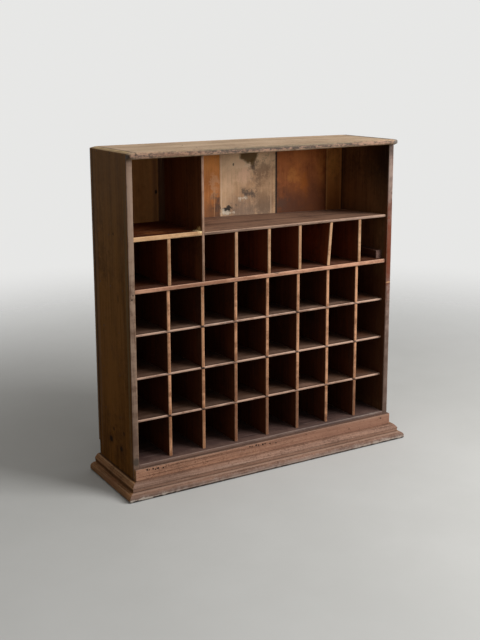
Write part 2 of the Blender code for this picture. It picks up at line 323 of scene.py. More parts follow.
def wood(name, light, dark, faces=(), front=None, front_reach=0.003, front_blotch=1.6, worn=None,
         front_grain=26.0, wear=0.6, ring_rate=150.0, warp_size=0.05, rings=0.3, knots=0.6, broad=0.9,
         streaks=0.5, patina=0.9, scratches=0.3, scratch_dark=0.35, grime=0.4, soil_and_shade=0.0, spots=(),
         swirl=None, shine=0.6, specular=0.2, relief=0.45, scores=0.0, pitted=0.0):
    """A wood finish in screen colours. faces gives (light, dark) pairs for faces that look one way,
    and front the pair of the front edges; spots are stains, painted light and painted shade at
    places on the part."""
    nodes = Nodes(name)
    worn_colour = srgb(*worn) if worn else None
    grain = nodes.attribute("grain", "Vector")
    place = nodes.add("TexCoord").outputs["Object"]
    place_parts = nodes.parts(place)
    normal = nodes.parts(nodes.add("NewGeometry").outputs["Normal"])
    turn = None
    if swirl:
        at, size, push = swirl
        turn = nodes.band(around(nodes, place, at, size), 1.0, 0.0, 0.0, push)
    late, knot = add_rings(nodes, grain, ring_rate, warp_size, turn)
    wide = nodes.noise(grain, (0.9, 17.0, 17.0), 6.0, 0.62)
    streak = nodes.noise(grain, (2.6, 75.0, 75.0), 4.0, 0.6)
    fibre = nodes.noise(grain, (16.0, 900.0, 900.0))
    scratch = nodes.noise(grain, (6.0, 340.0, 340.0), 2.0, 0.6)
    cloud = nodes.noise(place, (5.5, 5.5, 5.5), 6.0, 0.62)
    speck = nodes.noise(place, (75.0, 75.0, 75.0), 4.0, 0.65)

    def blend(amount, pair):
        return nodes.mix(amount, *[srgb(*colour) for colour in pair])

    tone = nodes.math("MULTIPLY_ADD", late, rings, 0.4 - 0.1 * rings)
    for part, share in ((wide, broad), (streak, streaks), (cloud, patina), (fibre, 0.35), (speck, 0.3)):
        tone = nodes.sway(tone, part, share * 2.0)
    tone = nodes.band(tone, 0.0, 1.0)
    colour = blend(tone, (light, dark))
    for side, pair in faces:
        mask = face_mask(nodes, normal, place_parts, side)
        colour = nodes.mix(mask, colour, blend(tone, pair))
    knot_dark = nodes.mix(0.75, colour, srgb(*KNOT_COLOUR))
    colour = nodes.mix(nodes.times(knot, knots), colour, knot_dark)
    # A yellow-brown tint, stronger towards the bottom: partly soil, partly a painted warm shade.
    if soil_and_shade:
        amount = nodes.band(place_parts[2], 1.05, 0.05, 0.0, soil_and_shade)
        colour = nodes.mix(amount, colour, SOIL_AND_SHADE_TINT, "MULTIPLY")
    if front:
        depth = nodes.attribute("depth", "Fac")
        ragged = nodes.sway(depth, speck, front_reach)
        edge = nodes.band(ragged, front_reach * 1.2, front_reach * 0.7)
        blotch = nodes.noise(place, (front_grain * 0.55, front_grain, front_grain), 5.0, 0.68)
        shade = nodes.band(nodes.sway(tone, blotch, front_blotch * 2.0), 0.0, 1.0)
        colour = nodes.mix(edge, colour, blend(shade, front))

    dirt = nodes.times(nodes.band(nodes.sway(cloud, speck, 0.5), 0.52, 0.78), grime)
    colour = nodes.mix(dirt, colour, DIRT_TINT, "MULTIPLY")
    lines = nodes.times(nodes.band(scratch, 0.40, 0.31), scratch_dark)
    colour = nodes.mix(lines, colour, SCRATCH_TINT, "MULTIPLY")
    if scores:
        score = nodes.noise(grain, (2.2, 150.0, 150.0), 3.0, 0.6)
        cut = nodes.times(nodes.band(score, 0.43, 0.34), scores)
        colour = nodes.mix(cut, colour, SCORE_TINT, "MULTIPLY")
        ridge = nodes.times(nodes.band(score, 0.58, 0.69), scores)
        colour = nodes.mix(ridge, colour, worn_colour)
    if pitted:
        pock = nodes.noise(place, (190.0, 230.0, 230.0), 3.0, 0.6)
        hollow = nodes.times(nodes.band(pock, 0.42, 0.33), pitted)
        colour = nodes.mix(hollow, colour, HOLLOW_TINT, "MULTIPLY")
        proud = nodes.times(nodes.band(pock, 0.58, 0.70), pitted * 0.6)
        colour = nodes.mix(proud, colour, worn_colour)
    rim = nodes.math("SUBTRACT", nodes.noise(place, (44.0, 44.0, 44.0), 8.0, 0.72), 0.5)
    rim = nodes.sway(rim, fibre, 0.25)
    for spot in spots:
        colour = add_spot(nodes, colour, place, rim, **spot)
    if worn:
        rub = nodes.sway(nodes.sway(nodes.attribute("wear", "Fac"), speck, 1.8), cloud, 1.4)
        amount = nodes.times(nodes.band(rub, 0.5, 1.0), wear)
        rubbed = nodes.times(nodes.band(scratch, 0.62, 0.71), scratches)
        colour = nodes.mix(nodes.math("MAXIMUM", amount, rubbed), colour, worn_colour)
    # Painted shade, near black, in worm holes and in the slots where slats cross.
    recess_shade = nodes.attribute("recess_shade", "Fac")
    colour = nodes.mix(nodes.band(recess_shade, 0.15, 0.7), colour, srgb(*RECESS_SHADE_COLOUR))
    nodes.surface("Base Color", colour)
    nodes.surface("Specular IOR Level", specular)

    gloss = nodes.math("MULTIPLY_ADD", streak, 0.25, shine - 0.12)
    nodes.surface("Roughness", nodes.math("MULTIPLY_ADD", speck, 0.12, gloss))
    height = nodes.math("MULTIPLY_ADD", late, 0.3, nodes.times(fibre, 0.35))
    for part, share in ((streak, 0.6), (speck, 0.4), (scratch, 0.5)):
        height = nodes.math("MULTIPLY_ADD", part, share, height)
    nodes.bump(height, relief, WOOD_RELIEF)
    return nodes.material


def add_spot(nodes, colour, place, rim, at, size, paint, strength=0.8, ragged=1.2, soft=0.45):
    """A patch of colour round a point (a stain, painted light, painted shade), with a ragged rim; size holds
    its three half widths.
    """
    reach = around(nodes, place, at, size)
    mask = nodes.band(nodes.math("MULTIPLY_ADD", rim, ragged * 2.0, reach), 1.0, soft)
    return nodes.mix(nodes.times(mask, strength), colour, srgb(*paint))


def stain_and_shading(x, y, z, half_x, half_y, half_z, paint, strength=0.8, ragged=1.2, soft=0.45):
    """The settings of one patch of colour (a stain, painted light, painted shade): its middle, half widths,
    screen colour and look.
    """
    return {
        "at": (x, y, z), "size": (half_x, half_y, half_z), "paint": paint,
        "strength": strength, "ragged": ragged, "soft": soft,
    }


def on_back(x, z, half_x, half_z, *look):
    """A patch of colour (a stain, painted light, painted shade) on the front of the back boards; look is its
    colour and what follows it.
    """
    return stain_and_shading(x, BACK_FACE, z, half_x, SKIN, half_z, *look)


def on_left(y, z, half_y, half_z, *look):
    """A stain on the outside of the left side."""
    return stain_and_shading(CASE_LEFT, y, z, SIDE_SKIN, half_y, half_z, *look)


def on_right(y, z, half_y, half_z, *look):
    """A patch of colour (a stain, painted shade) on the inside of the right side."""
    return stain_and_shading(RIGHT_INNER, y, z, SKIN, half_y, half_z, *look)


def on_slats(x, z, half_x, half_z, *look):
    """A stain on the front edges of the grid's uprights."""
    return stain_and_shading(x, SLAT_FRONT, z, half_x, EDGE, half_z, *look)


def on_short_slat(x, *look):
    """A stain over the whole front edge of the short divider at x."""
    return stain_and_shading(x, SHORT_FRONT, 0.73, 0.03, EDGE, 0.10, *look)


def all_along(y, z, half_y, half_z, *look):
    """A band of colour (a stain, painted shade) that runs along a whole board or moulding of the plinth."""
    return stain_and_shading(0.0, y, z, EVERYWHERE, half_y, half_z, *look)


def dust(z, paint, strength, x, half_x, patch_paint, patch_strength):
    """Dust near the front of a grid shelf: a strip along it, and a lighter patch at x."""
    strip = stain_and_shading(0.0, -0.066, z, 1.2, 0.022, 0.004, paint, strength, 0.6, 0.1)
    patch = stain_and_shading(x, -0.062, z, half_x, 0.026, 0.004, patch_paint, patch_strength, 0.8, 0.1)
    return strip, patch


def add_object(name, data):
    """A new object in the scene."""
    made = bpy.data.objects.new(name, data)
    bpy.context.scene.collection.objects.link(made)
    return made


class Shape:
    """Points, faces and per-point facts of one piece that is being modelled."""

    def __init__(self, points, faces, arris, push, recess_shade):
        self.points = points
        self.faces = faces
        self.arris = arris
        self.push = push
        self.recess_shade = recess_shade


def unit(vectors):
    return vectors / np.linalg.norm(vectors, axis=1, keepdims=True)


def noise_at(points, factors, shift=0.0):
    """Smooth noise from about -1 to 1 at each point."""
    stretched = np.asarray(points) * factors + shift
    return np.array([noise.noise(Vector(point)) for point in stretched])


def anticlockwise(outline):
    outline = np.array(outline, float)
    after = np.roll(outline, -1, axis=0)
    area = np.sum(outline[:, 0] * after[:, 1] - outline[:, 1] * after[:, 0])
    return outline if area > 0 else outline[::-1]


def densify(outline, step_of):
    """Points along a closed outline, spaced as step_of says: their sides, and shares of these."""
    sides = []
    shares = []
    for side, (start, end) in enumerate(zip(outline, np.roll(outline, -1, axis=0))):
        parts = max(1, ceil(np.linalg.norm(end - start) / step_of(start, end)))
        sides += [side] * parts
        shares += [part / parts for part in range(parts)]
    return np.array(sides), np.array(shares)[:, None]


def inward(points):
    """Mitred inward move at each point of an anticlockwise outline, for an inset of 1."""
    ahead = unit(np.roll(points, -1, axis=0) - points)
    behind = np.roll(ahead, 1, axis=0)
    total = np.stack((-ahead[:, 1] - behind[:, 1], ahead[:, 0] + behind[:, 0]), axis=1)
    return total * 2.0 / np.sum(total**2, axis=1, keepdims=True)


def slab_levels(low, high, radius):
    """Rings of a slab from its upper face to its lower: inset, height, arris, out, rise."""
    upper = [(radius + SUPPORT, high, 0.0, 0.0, 1.0)]
    for step in range(ROUND_STEPS + 1):
        angle = step / ROUND_STEPS * pi / 2
        drop = radius * (1.0 - cos(angle))
        arris = 0.35 + 0.65 * sin(2.0 * angle)
        upper.append((radius * (1.0 - sin(angle)), high - drop, arris, sin(angle), cos(angle)))
    middle = [(0.0, (low + high) / 2, 0.2, 1.0, 0.0)]
    lower = [(a, low + high - z, b, c, -d) for a, z, b, c, d in reversed(upper)]
    return upper + middle + lower


def inside(points, rim):
    """Whether each point lies inside a closed rim."""
    x, y = points[:, :1], points[:, 1:]
    start_x, start_y = rim.T
    end_x, end_y = np.roll(rim, -1, axis=0).T
    crossed = (start_y > y) != (end_y > y)
    rise = np.where(start_y == end_y, 1.0, end_y - start_y)
    hits = crossed & (x < start_x + (y - start_y) * (end_x - start_x) / rise)
    return hits.sum(axis=1) % 2 == 1


def fill_plan(rim, extra):
    """Triangles inside a closed rim, over a jittered grid and some extra points."""
    low = rim.min(axis=0)
    high = rim.max(axis=0)
    counts = np.maximum(1, np.floor((high - low) / CELL)).astype(int)
    columns = [low[a] + (np.arange(counts[a]) + 0.5) * (high[a] - low[a]) / counts[a] for a in (0, 1)]
    inner = np.stack(np.meshgrid(*columns), axis=-1).reshape(-1, 2)
    inner = inner + randoms.uniform(-0.2, 0.2, inner.shape) * CELL
    fixed = np.concatenate((rim, extra)) if len(extra) else rim
    distance = np.linalg.norm(inner[:, None] - fixed[None], axis=2).min(axis=1)
    inner = inner[distance > 0.35 * CELL]
    inner = np.concatenate((extra, inner)) if len(extra) else inner
    count = len(rim)
    points = [Vector(point) for point in (*rim, *inner)]
    loop = [(index, (index + 1) % count) for index in range(count)]
    made = geometry.delaunay_2d_cdt(points, loop, [], 1, 1e-7, True)
    origin = [sources[0] for sources in made[3]]
    triangles = np.array([[origin[corner] for corner in face] for face in made[2]])
    middles = np.array(points)[triangles].mean(axis=1)
    triangles = triangles[inside(middles, rim)].tolist()
    used = sorted({corner for face in triangles for corner in face if corner >= count})
    places = {corner: number for number, corner in enumerate(used)}
    return inner[np.array(used, int) - count] if used else np.zeros((0, 2)), triangles, places


def tube(rings, count):
    """Faces between rings that follow each other, of count points each."""
    faces = []
    for ring in range(rings - 1):
        for index in range(count):
            after = (index + 1) % count
            pair = (ring * count + index, ring * count + after)
            faces.append((*pair, pair[1] + count, pair[0] + count))
    return faces


def mark_points(marks):
    """Extra points that a slab needs for its pits: (points, depth and painted shade of each)."""
    points = []
    sinks = []
    for u, v, radius, depth in marks:
        points.append((u, v))
        sinks.append((depth, 1.0))
        for ring, share, dark in PIT_RINGS:
            turn = randoms.uniform(0.0, pi)
            for step in range(PIT_SIDES):
                angle = turn + step * 2.0 * pi / PIT_SIDES
                reach = radius * ring * randoms.uniform(0.85, 1.15)
                points.append((u + reach * cos(angle), v + reach * sin(angle)))
                sinks.append((depth * share, dark))
    return np.array(points).reshape(-1, 2), np.array(sinks).reshape(-1, 2)


def slab(outline, low, high, axes, radius, step_of, marks=()):
    """A board with rounded corners. The outline is in the plane of the first two axes, and
    marks are pits (u, v, radius, depth) in its lower face."""
    corners = anticlockwise(outline)
    move = inward(corners)
    sides, shares = densify(corners, step_of)
    ends = (sides + 1) % len(corners)
    run = unit(np.roll(corners, -1, axis=0) - corners)
    out = np.where(shares == 0.0, -unit(move)[sides], np.column_stack((run[:, 1], -run[:, 0]))[sides])
    count = len(sides)
    levels = slab_levels(low, high, radius)

    def inset_ring(inset):
        moved = corners + move * inset
        return moved[sides] + (moved[ends] - moved[sides]) * shares

    flat, arris, push = [], [], []
    for inset, height, weight, outwards, rise in levels:
        flat.append(np.column_stack((inset_ring(inset), np.full(count, height))))
        arris.append(np.full(count, weight))
        push.append(np.column_stack((out * outwards, np.full(count, rise))))
    faces = tube(len(levels), count)
    extra, sinks = mark_points(marks)
    inner, triangles, places = fill_plan(inset_ring(levels[0][0]), extra)
    shown = {corner - count: number for corner, number in places.items() if corner - count < len(extra)}
    recess_shade = [np.zeros(count * len(levels))]
    for height, first_ring, inwards in ((high, 0, -1.0), (low, len(levels) - 1, 1.0)):
        start = sum(len(block) for block in flat)
        heights = np.full(len(inner), height)
        dark = np.zeros(len(inner))
        # Pits sink into the lower face and carry painted shade.
        if height == low:
            for mark, number in shown.items():
                heights[number] += inwards * sinks[mark][0]
                dark[number] = sinks[mark][1]
        flat.append(np.column_stack((inner, heights)))
        arris.append(np.zeros(len(inner)))
        push.append(np.column_stack((np.zeros((len(inner), 2)), np.full(len(inner), -inwards))))
        recess_shade.append(dark)
        for face in triangles:
            faces.append([first_ring * count + c if c < count else start + places[c] for c in face])

    def spread(blocks):
        stacked = np.concatenate(blocks)
        turned = np.empty_like(stacked)
        turned[:, axes] = stacked
        return turned

    return Shape(spread(flat), faces, np.concatenate(arris), spread(push), np.concatenate(recess_shade))


def soften(profile, radius, steps=3):
    """Rounds the corners of a closed profile with short curves."""
    profile = np.array(profile, float)
    count = len(profile)
    points = []
    for index in range(count):
        corner = profile[index]
        behind = profile[index - 1] - corner
        ahead = profile[(index + 1) % count] - corner
        lengths = (np.linalg.norm(behind), np.linalg.norm(ahead))
        straight = np.dot(behind, ahead) / (lengths[0] * lengths[1]) < -0.97
        if straight:
            points.append(corner)
            continue
        reach = min(radius, 0.4 * lengths[0], 0.4 * lengths[1])
        start = corner + behind / lengths[0] * reach
        end = corner + ahead / lengths[1] * reach
        for step in range(steps + 1):
            share = step / steps
            points.append((1 - share) ** 2 * start + 2 * share * (1 - share) * corner + share**2 * end)
    return np.array(points)


def sweep(profile, place_start, place_end, out_axis, out_sign):
    """Runs a closed profile (projection, height) between the places of its two ends."""
    start = np.array([place_start(out, height) for out, height in profile])
    end = np.array([place_end(out, height) for out, height in profile])
    stations = max(2, ceil(np.linalg.norm(end[0] - start[0]) / (FINE_STEP * 2)))
    count = len(profile)
    points = np.concatenate([start + (end - start) * s / stations for s in range(stations + 1)])
    whole = stations + 1
    faces = [tuple(range(count)), tuple(range(stations * count, whole * count)), *tube(whole, count)]
    ordered = anticlockwise(profile)
    move = inward(ordered)
    out = -unit(move)
    turn = np.linalg.norm(move, axis=1) - 1.0
    if not np.allclose(ordered, profile):
        out = out[::-1]
        turn = turn[::-1]
    push = np.zeros((count, 3))
    push[:, out_axis] = out[:, 0] * out_sign
    push[:, Z] = out[:, 1]
    arris = np.clip(turn * 12.0, 0.0, 1.0)
    return Shape(points, faces, np.tile(arris, whole), np.tile(push, (whole, 1)), np.zeros(len(points)))


def chip(shape, bite, shift, stretch=(1.0, 1.0, 1.0), base=0.0, reach=None):
    """Wears a shape: chips along its corners and, by the share base, dents elsewhere. reach
    keeps the chips that close to the front."""
    stretch = np.array(stretch)
    large = noise_at(shape.points, CHIP_RATES[0] * stretch, shift)
    small = noise_at(shape.points, CHIP_RATES[1] * stretch, shift + 5.0)
    depth = np.clip(large * 0.9 + small * 0.55 - 0.12, 0.0, 1.0) ** 1.6
    depth = depth + 0.12 * np.abs(small)
    weight = np.maximum(shape.arris, base)
    if reach:
        weight = weight * (shape.points[:, Y] < shape.points[:, Y].min() + reach)
    shape.points -= shape.push * (depth * weight * bite)[:, None]


def wave(shape, axis, size, shift):
    """Lets a board wander a little out of its plane."""
    shape.points[:, axis] += size * noise_at(shape.points, WAVE_RATE, shift)


def add_piece(node, shape, along, thick, finish):
    """Adds the piece that stands for a node, with the facts that its finish reads."""
    mesh = bpy.data.meshes.new("worn_" + node)
    mesh.from_pydata(shape.points.tolist(), [], shape.faces)
    solid = bmesh.new()
    solid.from_mesh(mesh)
    bmesh.ops.recalc_face_normals(solid, faces=solid.faces)
    solid.to_mesh(mesh)
    solid.free()
    mesh.materials.append(finish)
    low, high = [np.array(corner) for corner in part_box(node)]
    across = next(axis for axis in (X, Y, Z) if axis not in (along, thick))
    local = shape.points - (low + high) / 2
    side = randoms.choice((-1.0, 1.0))
    grain = np.column_stack((local[:, along], local[:, across], local[:, thick]))
    grain[:, 0] += randoms.uniform(0.0, 9.0)
    grain[:, 1] += randoms.uniform(-0.06, 0.06) + local[:, along] * randoms.uniform(-0.04, 0.04)
    grain[:, 2] += side * randoms.uniform(0.03, 0.09)
    depth = shape.points[:, Y] - low[Y]
    for name, kind, values in (
        ("grain", "FLOAT_VECTOR", grain),
        ("wear", "FLOAT", shape.arris),
        ("depth", "FLOAT", depth),
        ("recess_shade", "FLOAT", shape.recess_shade),
    ):
        key = "vector" if kind == "FLOAT_VECTOR" else "value"
        mesh.attributes.new(name, kind, "POINT").data.foreach_set(key, values.astype(np.float32).ravel())
    mesh.shade_smooth()
    mesh.set_sharp_from_angle(angle=SHARP_ANGLE)
    piece = add_object("worn_" + node, mesh)
    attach(piece, "root")
    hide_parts(node)


def middle(node, axis):
    low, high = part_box(node)
    return (low[axis] + high[axis]) / 2


def rectangle(node, thick):
    low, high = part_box(node)
    u, v = [axis for axis in (X, Y, Z) if axis != thick]
    return [(low[u], low[v]), (high[u], low[v]), (high[u], high[v]), (low[u], high[v])]


def front_steps(node, thick):
    """Fine steps along the front edge of a board's outline, coarse ones elsewhere."""
    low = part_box(node)[0]
    across = [axis for axis in (X, Y, Z) if axis != thick]

    def step_of(start, end):
        if Y not in across:
            return FINE_STEP * 2
        index = across.index(Y)
        near = max(start[index], end[index]) < low[Y] + FRONT_REACH
        return FINE_STEP if near else COARSE_STEP

    return step_of


def dress(node, thick, along, finish, radius=BOARD_RADIUS, bite=BOARD_BITE, outline=None, bow=0.0003,
          marks=(), reach=FRONT_REACH, lapped=(), mend=None):
    """Models one board in the place of its node; the lapped nodes cross it in slots with painted
    shade, and mend is called with the shape before it is worn."""
    low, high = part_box(node)
    axes = [axis for axis in (X, Y, Z) if axis != thick] + [thick]
    plan = rectangle(node, thick) if outline is None else outline
    step_of = front_steps(node, thick)
    shape = slab(plan, low[thick], high[thick], axes, radius, step_of, marks)
    shift = randoms.uniform(0.0, SHIFT_RANGE)
    paint_lap_shade(shape, thick, lapped)
    if mend:
        mend(shape)
    chip(shape, bite, shift, reach=reach)
    wave(shape, thick, bow, shift)
    wear_top(shape)
    add_piece(node, shape, along, thick, finish)


def wear_top(shape):
    """Lets whatever reaches the top of the case sink towards its right end and its left corner."""
    low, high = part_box("side_panel_left")
    right = CAD_BOX[1][X]
    near = shape.points[:, Z] > high[Z] - TOP_WORN_REACH
    share = np.clip((shape.points[:, X] - TOP_WORN_START) / (right - TOP_WORN_START), 0.0, 1.0)
    corner = np.clip((high[X] - shape.points[:, X]) / (high[X] - low[X]), 0.0, 1.0)
    shape.points[near, Z] -= TOP_WORN_DEPTH * share[near] ** 1.3 + SIDE_END_DROP * corner[near]


def twist_shelf(shape):
    """Warps the thin upper right shelf: its rear edge climbs at the left and drops at the right."""
    low, high = [np.array(corner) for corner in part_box("upper_right_shelf")]
    share = (shape.points - low) / (high - low)
    shape.points[:, Z] += share[:, Y] * (SHELF_TWIST[0] + (SHELF_TWIST[1] - SHELF_TWIST[0]) * share[:, X])


def paint_lap_shade(shape, thick, lapped):
    """Painted shade in the slots of a slat and on the slat that crosses there."""
    run = Z if thick == X else X
    front = shape.points[:, Y].min()
    for other in lapped:
        low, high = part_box(other)
        half = (high[run] - low[run]) / 2 + LAP_MARGIN
        near = np.abs(shape.points[:, run] - middle(other, run)) < half
        deep = (thick != X) | (shape.points[:, Y] > front + SLOT_START)
        shown = shape.points[:, Y] < front + LAP_SHADE_REACH
        shape.recess_shade[near & deep & shown & (shape.arris > 0.0)] = randoms.uniform(*LAP_SHADE)


def dress_leaning(node, model, finish):
    """The tipped divider: built upright with its neighbour's thickness, then turned."""
    low, high = [np.array(corner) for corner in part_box(node)]
    upright_low, upright_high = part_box(model)
    thickness = upright_high[X] - upright_low[X]
    room = high[Z] - low[Z]
    height = (room - thickness * sin(LEAN_ANGLE)) / cos(LEAN_ANGLE)
    middle = (low + high) / 2
    half = height / 2
    outline = [(low[Y], -half), (high[Y], -half), (high[Y], half), (low[Y], half)]
    step_of = front_steps(node, X)
    shape = slab(outline, -thickness / 2, thickness / 2, (Y, Z, X), SLAT_RADIUS, step_of)
    chip(shape, BOARD_BITE, randoms.uniform(0.0, SHIFT_RANGE))
    turn = np.array(Matrix.Rotation(LEAN_ANGLE, 3, "Y"))
    centre = np.array((middle[X], 0.0, middle[Z]))
    shape.points = shape.points @ turn.T + centre
    add_piece(node, shape, Z, X, finish)


def dress_block(node, finish):
    """A glue block: a strip with three corners, in the angle between two boards."""
    low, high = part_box(node)
    outline = [(low[Y], low[Z]), (high[Y], high[Z]), (low[Y], high[Z])]
    shape = slab(outline, low[X], high[X], (Y, Z, X), BOARD_RADIUS, front_steps(node, X))
    chip(shape, BOARD_BITE, randoms.uniform(0.0, SHIFT_RANGE))
    add_piece(node, shape, X, Y, finish)


def comb_outline(node, crossing, thick, across):
    """Outline of a lapped slat: slots for the crossing nodes, half as deep as the lap."""
    low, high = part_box(node)
    cross_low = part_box(crossing[0])[0]
    lap = (max(low[Y], cross_low[Y]) + high[Y]) / 2
    from_front = thick == X
    edge = low[Y] if from_front else high[Y]
    end = lap + LAP_CLEARANCE / 2 if from_front else lap - LAP_CLEARANCE / 2
    far = high[Y] if from_front else low[Y]
    points = [(edge, low[across]), (far, low[across]), (far, high[across]), (edge, high[across])]
    for other in sorted(crossing, key=lambda name: -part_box(name)[0][across]):
        slot_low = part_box(other)[0][across] - LAP_CLEARANCE
        slot_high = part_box(other)[1][across] + LAP_CLEARANCE
        points += [(edge, slot_high), (end, slot_high), (end, slot_low), (edge, slot_low)]
    if from_front:
        return points
    return [(b, a) for a, b in points]


def base_profile():
    """Lower member as (projection, height): an upright face under a rounded shoulder."""
    shoulder = BASE_PROJECTION - BASE_TOP_PROJECTION
    rise = BASE_HEIGHT - BASE_FACE_HEIGHT
    points = [(0.0, 0.0), (BASE_PROJECTION - BASE_FOOT_EASE, 0.0), (BASE_PROJECTION, BASE_FOOT_EASE)]
    for step in range(PROFILE_STEPS + 1):
        angle = step * pi / 2 / PROFILE_STEPS
        out = BASE_TOP_PROJECTION + shoulder * cos(angle)
        points.append((out, BASE_FACE_HEIGHT + rise * sin(angle)))
    return points + [(0.0, BASE_HEIGHT)]


def cap_profile():
    """Upper member as (projection, height): a quirk, a fillet and a slope with a flat top."""
    bottom = BASE_HEIGHT + FIT
    top = BASE_HEIGHT + CAP_HEIGHT
    quirk = bottom + QUIRK_HEIGHT
    fillet = quirk + CAP_FILLET_HEIGHT
    foot = Vector((CAP_PROJECTION + CAP_FILLET_OVERHANG, fillet))
    head = Vector((CAP_TOP_FLAT, top))
    outward = Vector((top - fillet, foot.x - head.x)).normalized()
    points = [(0.0, bottom), (CAP_PROJECTION - QUIRK_DEPTH, bottom)]
    points += [(CAP_PROJECTION - QUIRK_DEPTH, quirk), (CAP_PROJECTION, quirk), (CAP_PROJECTION, fillet)]
    for step in range(PROFILE_STEPS + 1):
        share = step / PROFILE_STEPS
        points.append(tuple(foot.lerp(head, share) + outward * CAP_BULGE * sin(pi * share)))
    return points + [(0.0, top)]


def dress_moulding(name, profile):
    """Models the front and both returns of one member of the plinth moulding."""
    profile = soften(profile, PROFILE_SOFTNESS)
    front_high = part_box(name + "_front")[1]
    front = front_high[Y]
    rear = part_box(name + "_left")[1][Y]
    half = front_high[X] - max(out for out, height in profile)
    for part, side in (("_front", 0), ("_left", -1), ("_right", 1)):
        if side == 0:
            shape = sweep(
                profile,
                lambda out, height: (-half - out, front - out, height),
                lambda out, height: (half + out, front - out, height),
                Y,
                -1,
            )
            along, thick = X, Y
        else:
            shape = sweep(
                profile,
                lambda out, height: (side * (half + out), front - out + FIT, height),
                lambda out, height: (side * (half + out), rear, height),
                X,
                side,
            )
            along, thick = Y, X
        stretch = [1.0, 1.0, 1.0]
        stretch[along] = MOULDING_STRETCH
        chip(shape, MOULDING_BITE, randoms.uniform(0.0, SHIFT_RANGE), stretch, base=MOULDING_DENTS)
        finish = finishes["moulding_front" if side == 0 else "moulding_side"]
        add_piece(name + part, shape, along, thick, finish)


def add_camera():
    forward = Vector(
        (sin(CAMERA_YAW) * cos(CAMERA_PITCH), cos(CAMERA_YAW) * cos(CAMERA_PITCH), sin(CAMERA_PITCH))
    )
    level = Vector((cos(CAMERA_YAW), -sin(CAMERA_YAW), 0.0))
    rise = level.cross(forward)
    right = level * cos(CAMERA_ROLL) + rise * sin(CAMERA_ROLL)
    up = rise * cos(CAMERA_ROLL) - level * sin(CAMERA_ROLL)
    long_side = max(IMAGE_SIZE)
    data = bpy.data.cameras.new("camera")
    data.sensor_width = SENSOR_WIDTH
    data.lens = FOCAL_PIXELS * SENSOR_WIDTH / long_side
    data.shift_x = (IMAGE_SIZE[0] / 2 - PRINCIPAL_POINT[0]) / long_side
    data.shift_y = (PRINCIPAL_POINT[1] - IMAGE_SIZE[1] / 2) / long_side
    camera = add_object("camera", data)
    camera.matrix_world = Matrix((right, up, -forward)).transposed().to_4x4()
    camera.location = CAMERA_PLACE
    bpy.context.scene.camera = camera


def add_lamp(name, place, size, power):
    data = bpy.data.lights.new(name, "AREA")
    data.size = size
    data.energy = power
    lamp = add_object(name, data)
    lamp.location = place
    lamp.rotation_euler = (Vector(LIGHT_TARGET) - Vector(place)).to_track_quat("-Z", "Y").to_euler()


def shown_rays(tree):
    """1 for rays whose background shows: from the camera, and in gloss or through glass."""
    path = tree.nodes.new("ShaderNodeLightPath")
    total = path.outputs["Is Camera Ray"]
    for name in ("Is Glossy Ray", "Is Transmission Ray"):
        either = tree.nodes.new("ShaderNodeMath")
        either.operation = "MAXIMUM"
        tree.links.new(total, either.inputs[0])
        tree.links.new(path.outputs[name], either.inputs[1])
        total = either.outputs[0]
    return total


def add_world():
    world = bpy.data.worlds.new("studio")
    world.use_nodes = True
    bpy.context.scene.world = world
    tree = world.node_tree
    light = tree.nodes["Background"]
    light.inputs["Color"].default_value = SKY_COLOUR
    light.inputs["Strength"].default_value = SKY_STRENGTH
    shown = tree.nodes.new("ShaderNodeBackground")
    shown.inputs["Color"].default_value = BACKDROP_COLOUR
    join = tree.nodes.new("ShaderNodeMixShader")
    tree.links.new(shown_rays(tree), join.inputs[0])
    tree.links.new(light.outputs[0], join.inputs[1])
    tree.links.new(shown.outputs[0], join.inputs[2])
    tree.links.new(join.outputs[0], tree.nodes["World Output"].inputs[0])


def add_floor():
    """A pale round floor that fades into the backdrop towards its rim."""
    disc = bmesh.new()
    rings = []
    for ring in range(1, FLOOR_RINGS + 1):
        reach = FLOOR_RADIUS * (ring / FLOOR_RINGS) ** 2
        turns = [step * 2 * pi / FLOOR_SIDES for step in range(FLOOR_SIDES)]
        rings.append([disc.verts.new((reach * cos(turn), reach * sin(turn), 0.0)) for turn in turns])
    disc.faces.new(rings[0])
    for inner, outer in zip(rings, rings[1:]):
        for index in range(FLOOR_SIDES):
            after = (index + 1) % FLOOR_SIDES
            disc.faces.new((inner[index], outer[index], outer[after], inner[after]))
    mesh = bpy.data.meshes.new("floor")
    disc.to_mesh(mesh)
    disc.free()
    nodes = Nodes("pale_floor")
    place = nodes.add("TexCoord").outputs["Object"]
    cloud = nodes.noise(place, (2.2, 2.2, 2.2), 5.0, 0.6)
    seen = nodes.mix(nodes.band(cloud, 0.3, 0.7, 0.0, 0.12), FLOOR_COLOUR, BACKDROP_COLOUR)
    colour = nodes.mix(shown_rays(nodes.tree), FLOOR_BOUNCE_COLOUR, seen)
    nodes.surface("Base Color", colour)
    nodes.surface("Roughness", 0.7)
    nodes.surface("Specular IOR Level", 0.2)
    reach = nodes.vector("LENGTH", place)
    nodes.surface("Alpha", nodes.band(reach, FLOOR_FADE[1], FLOOR_FADE[0]))
    mesh.materials.append(nodes.material)
    floor = add_object("floor", mesh)


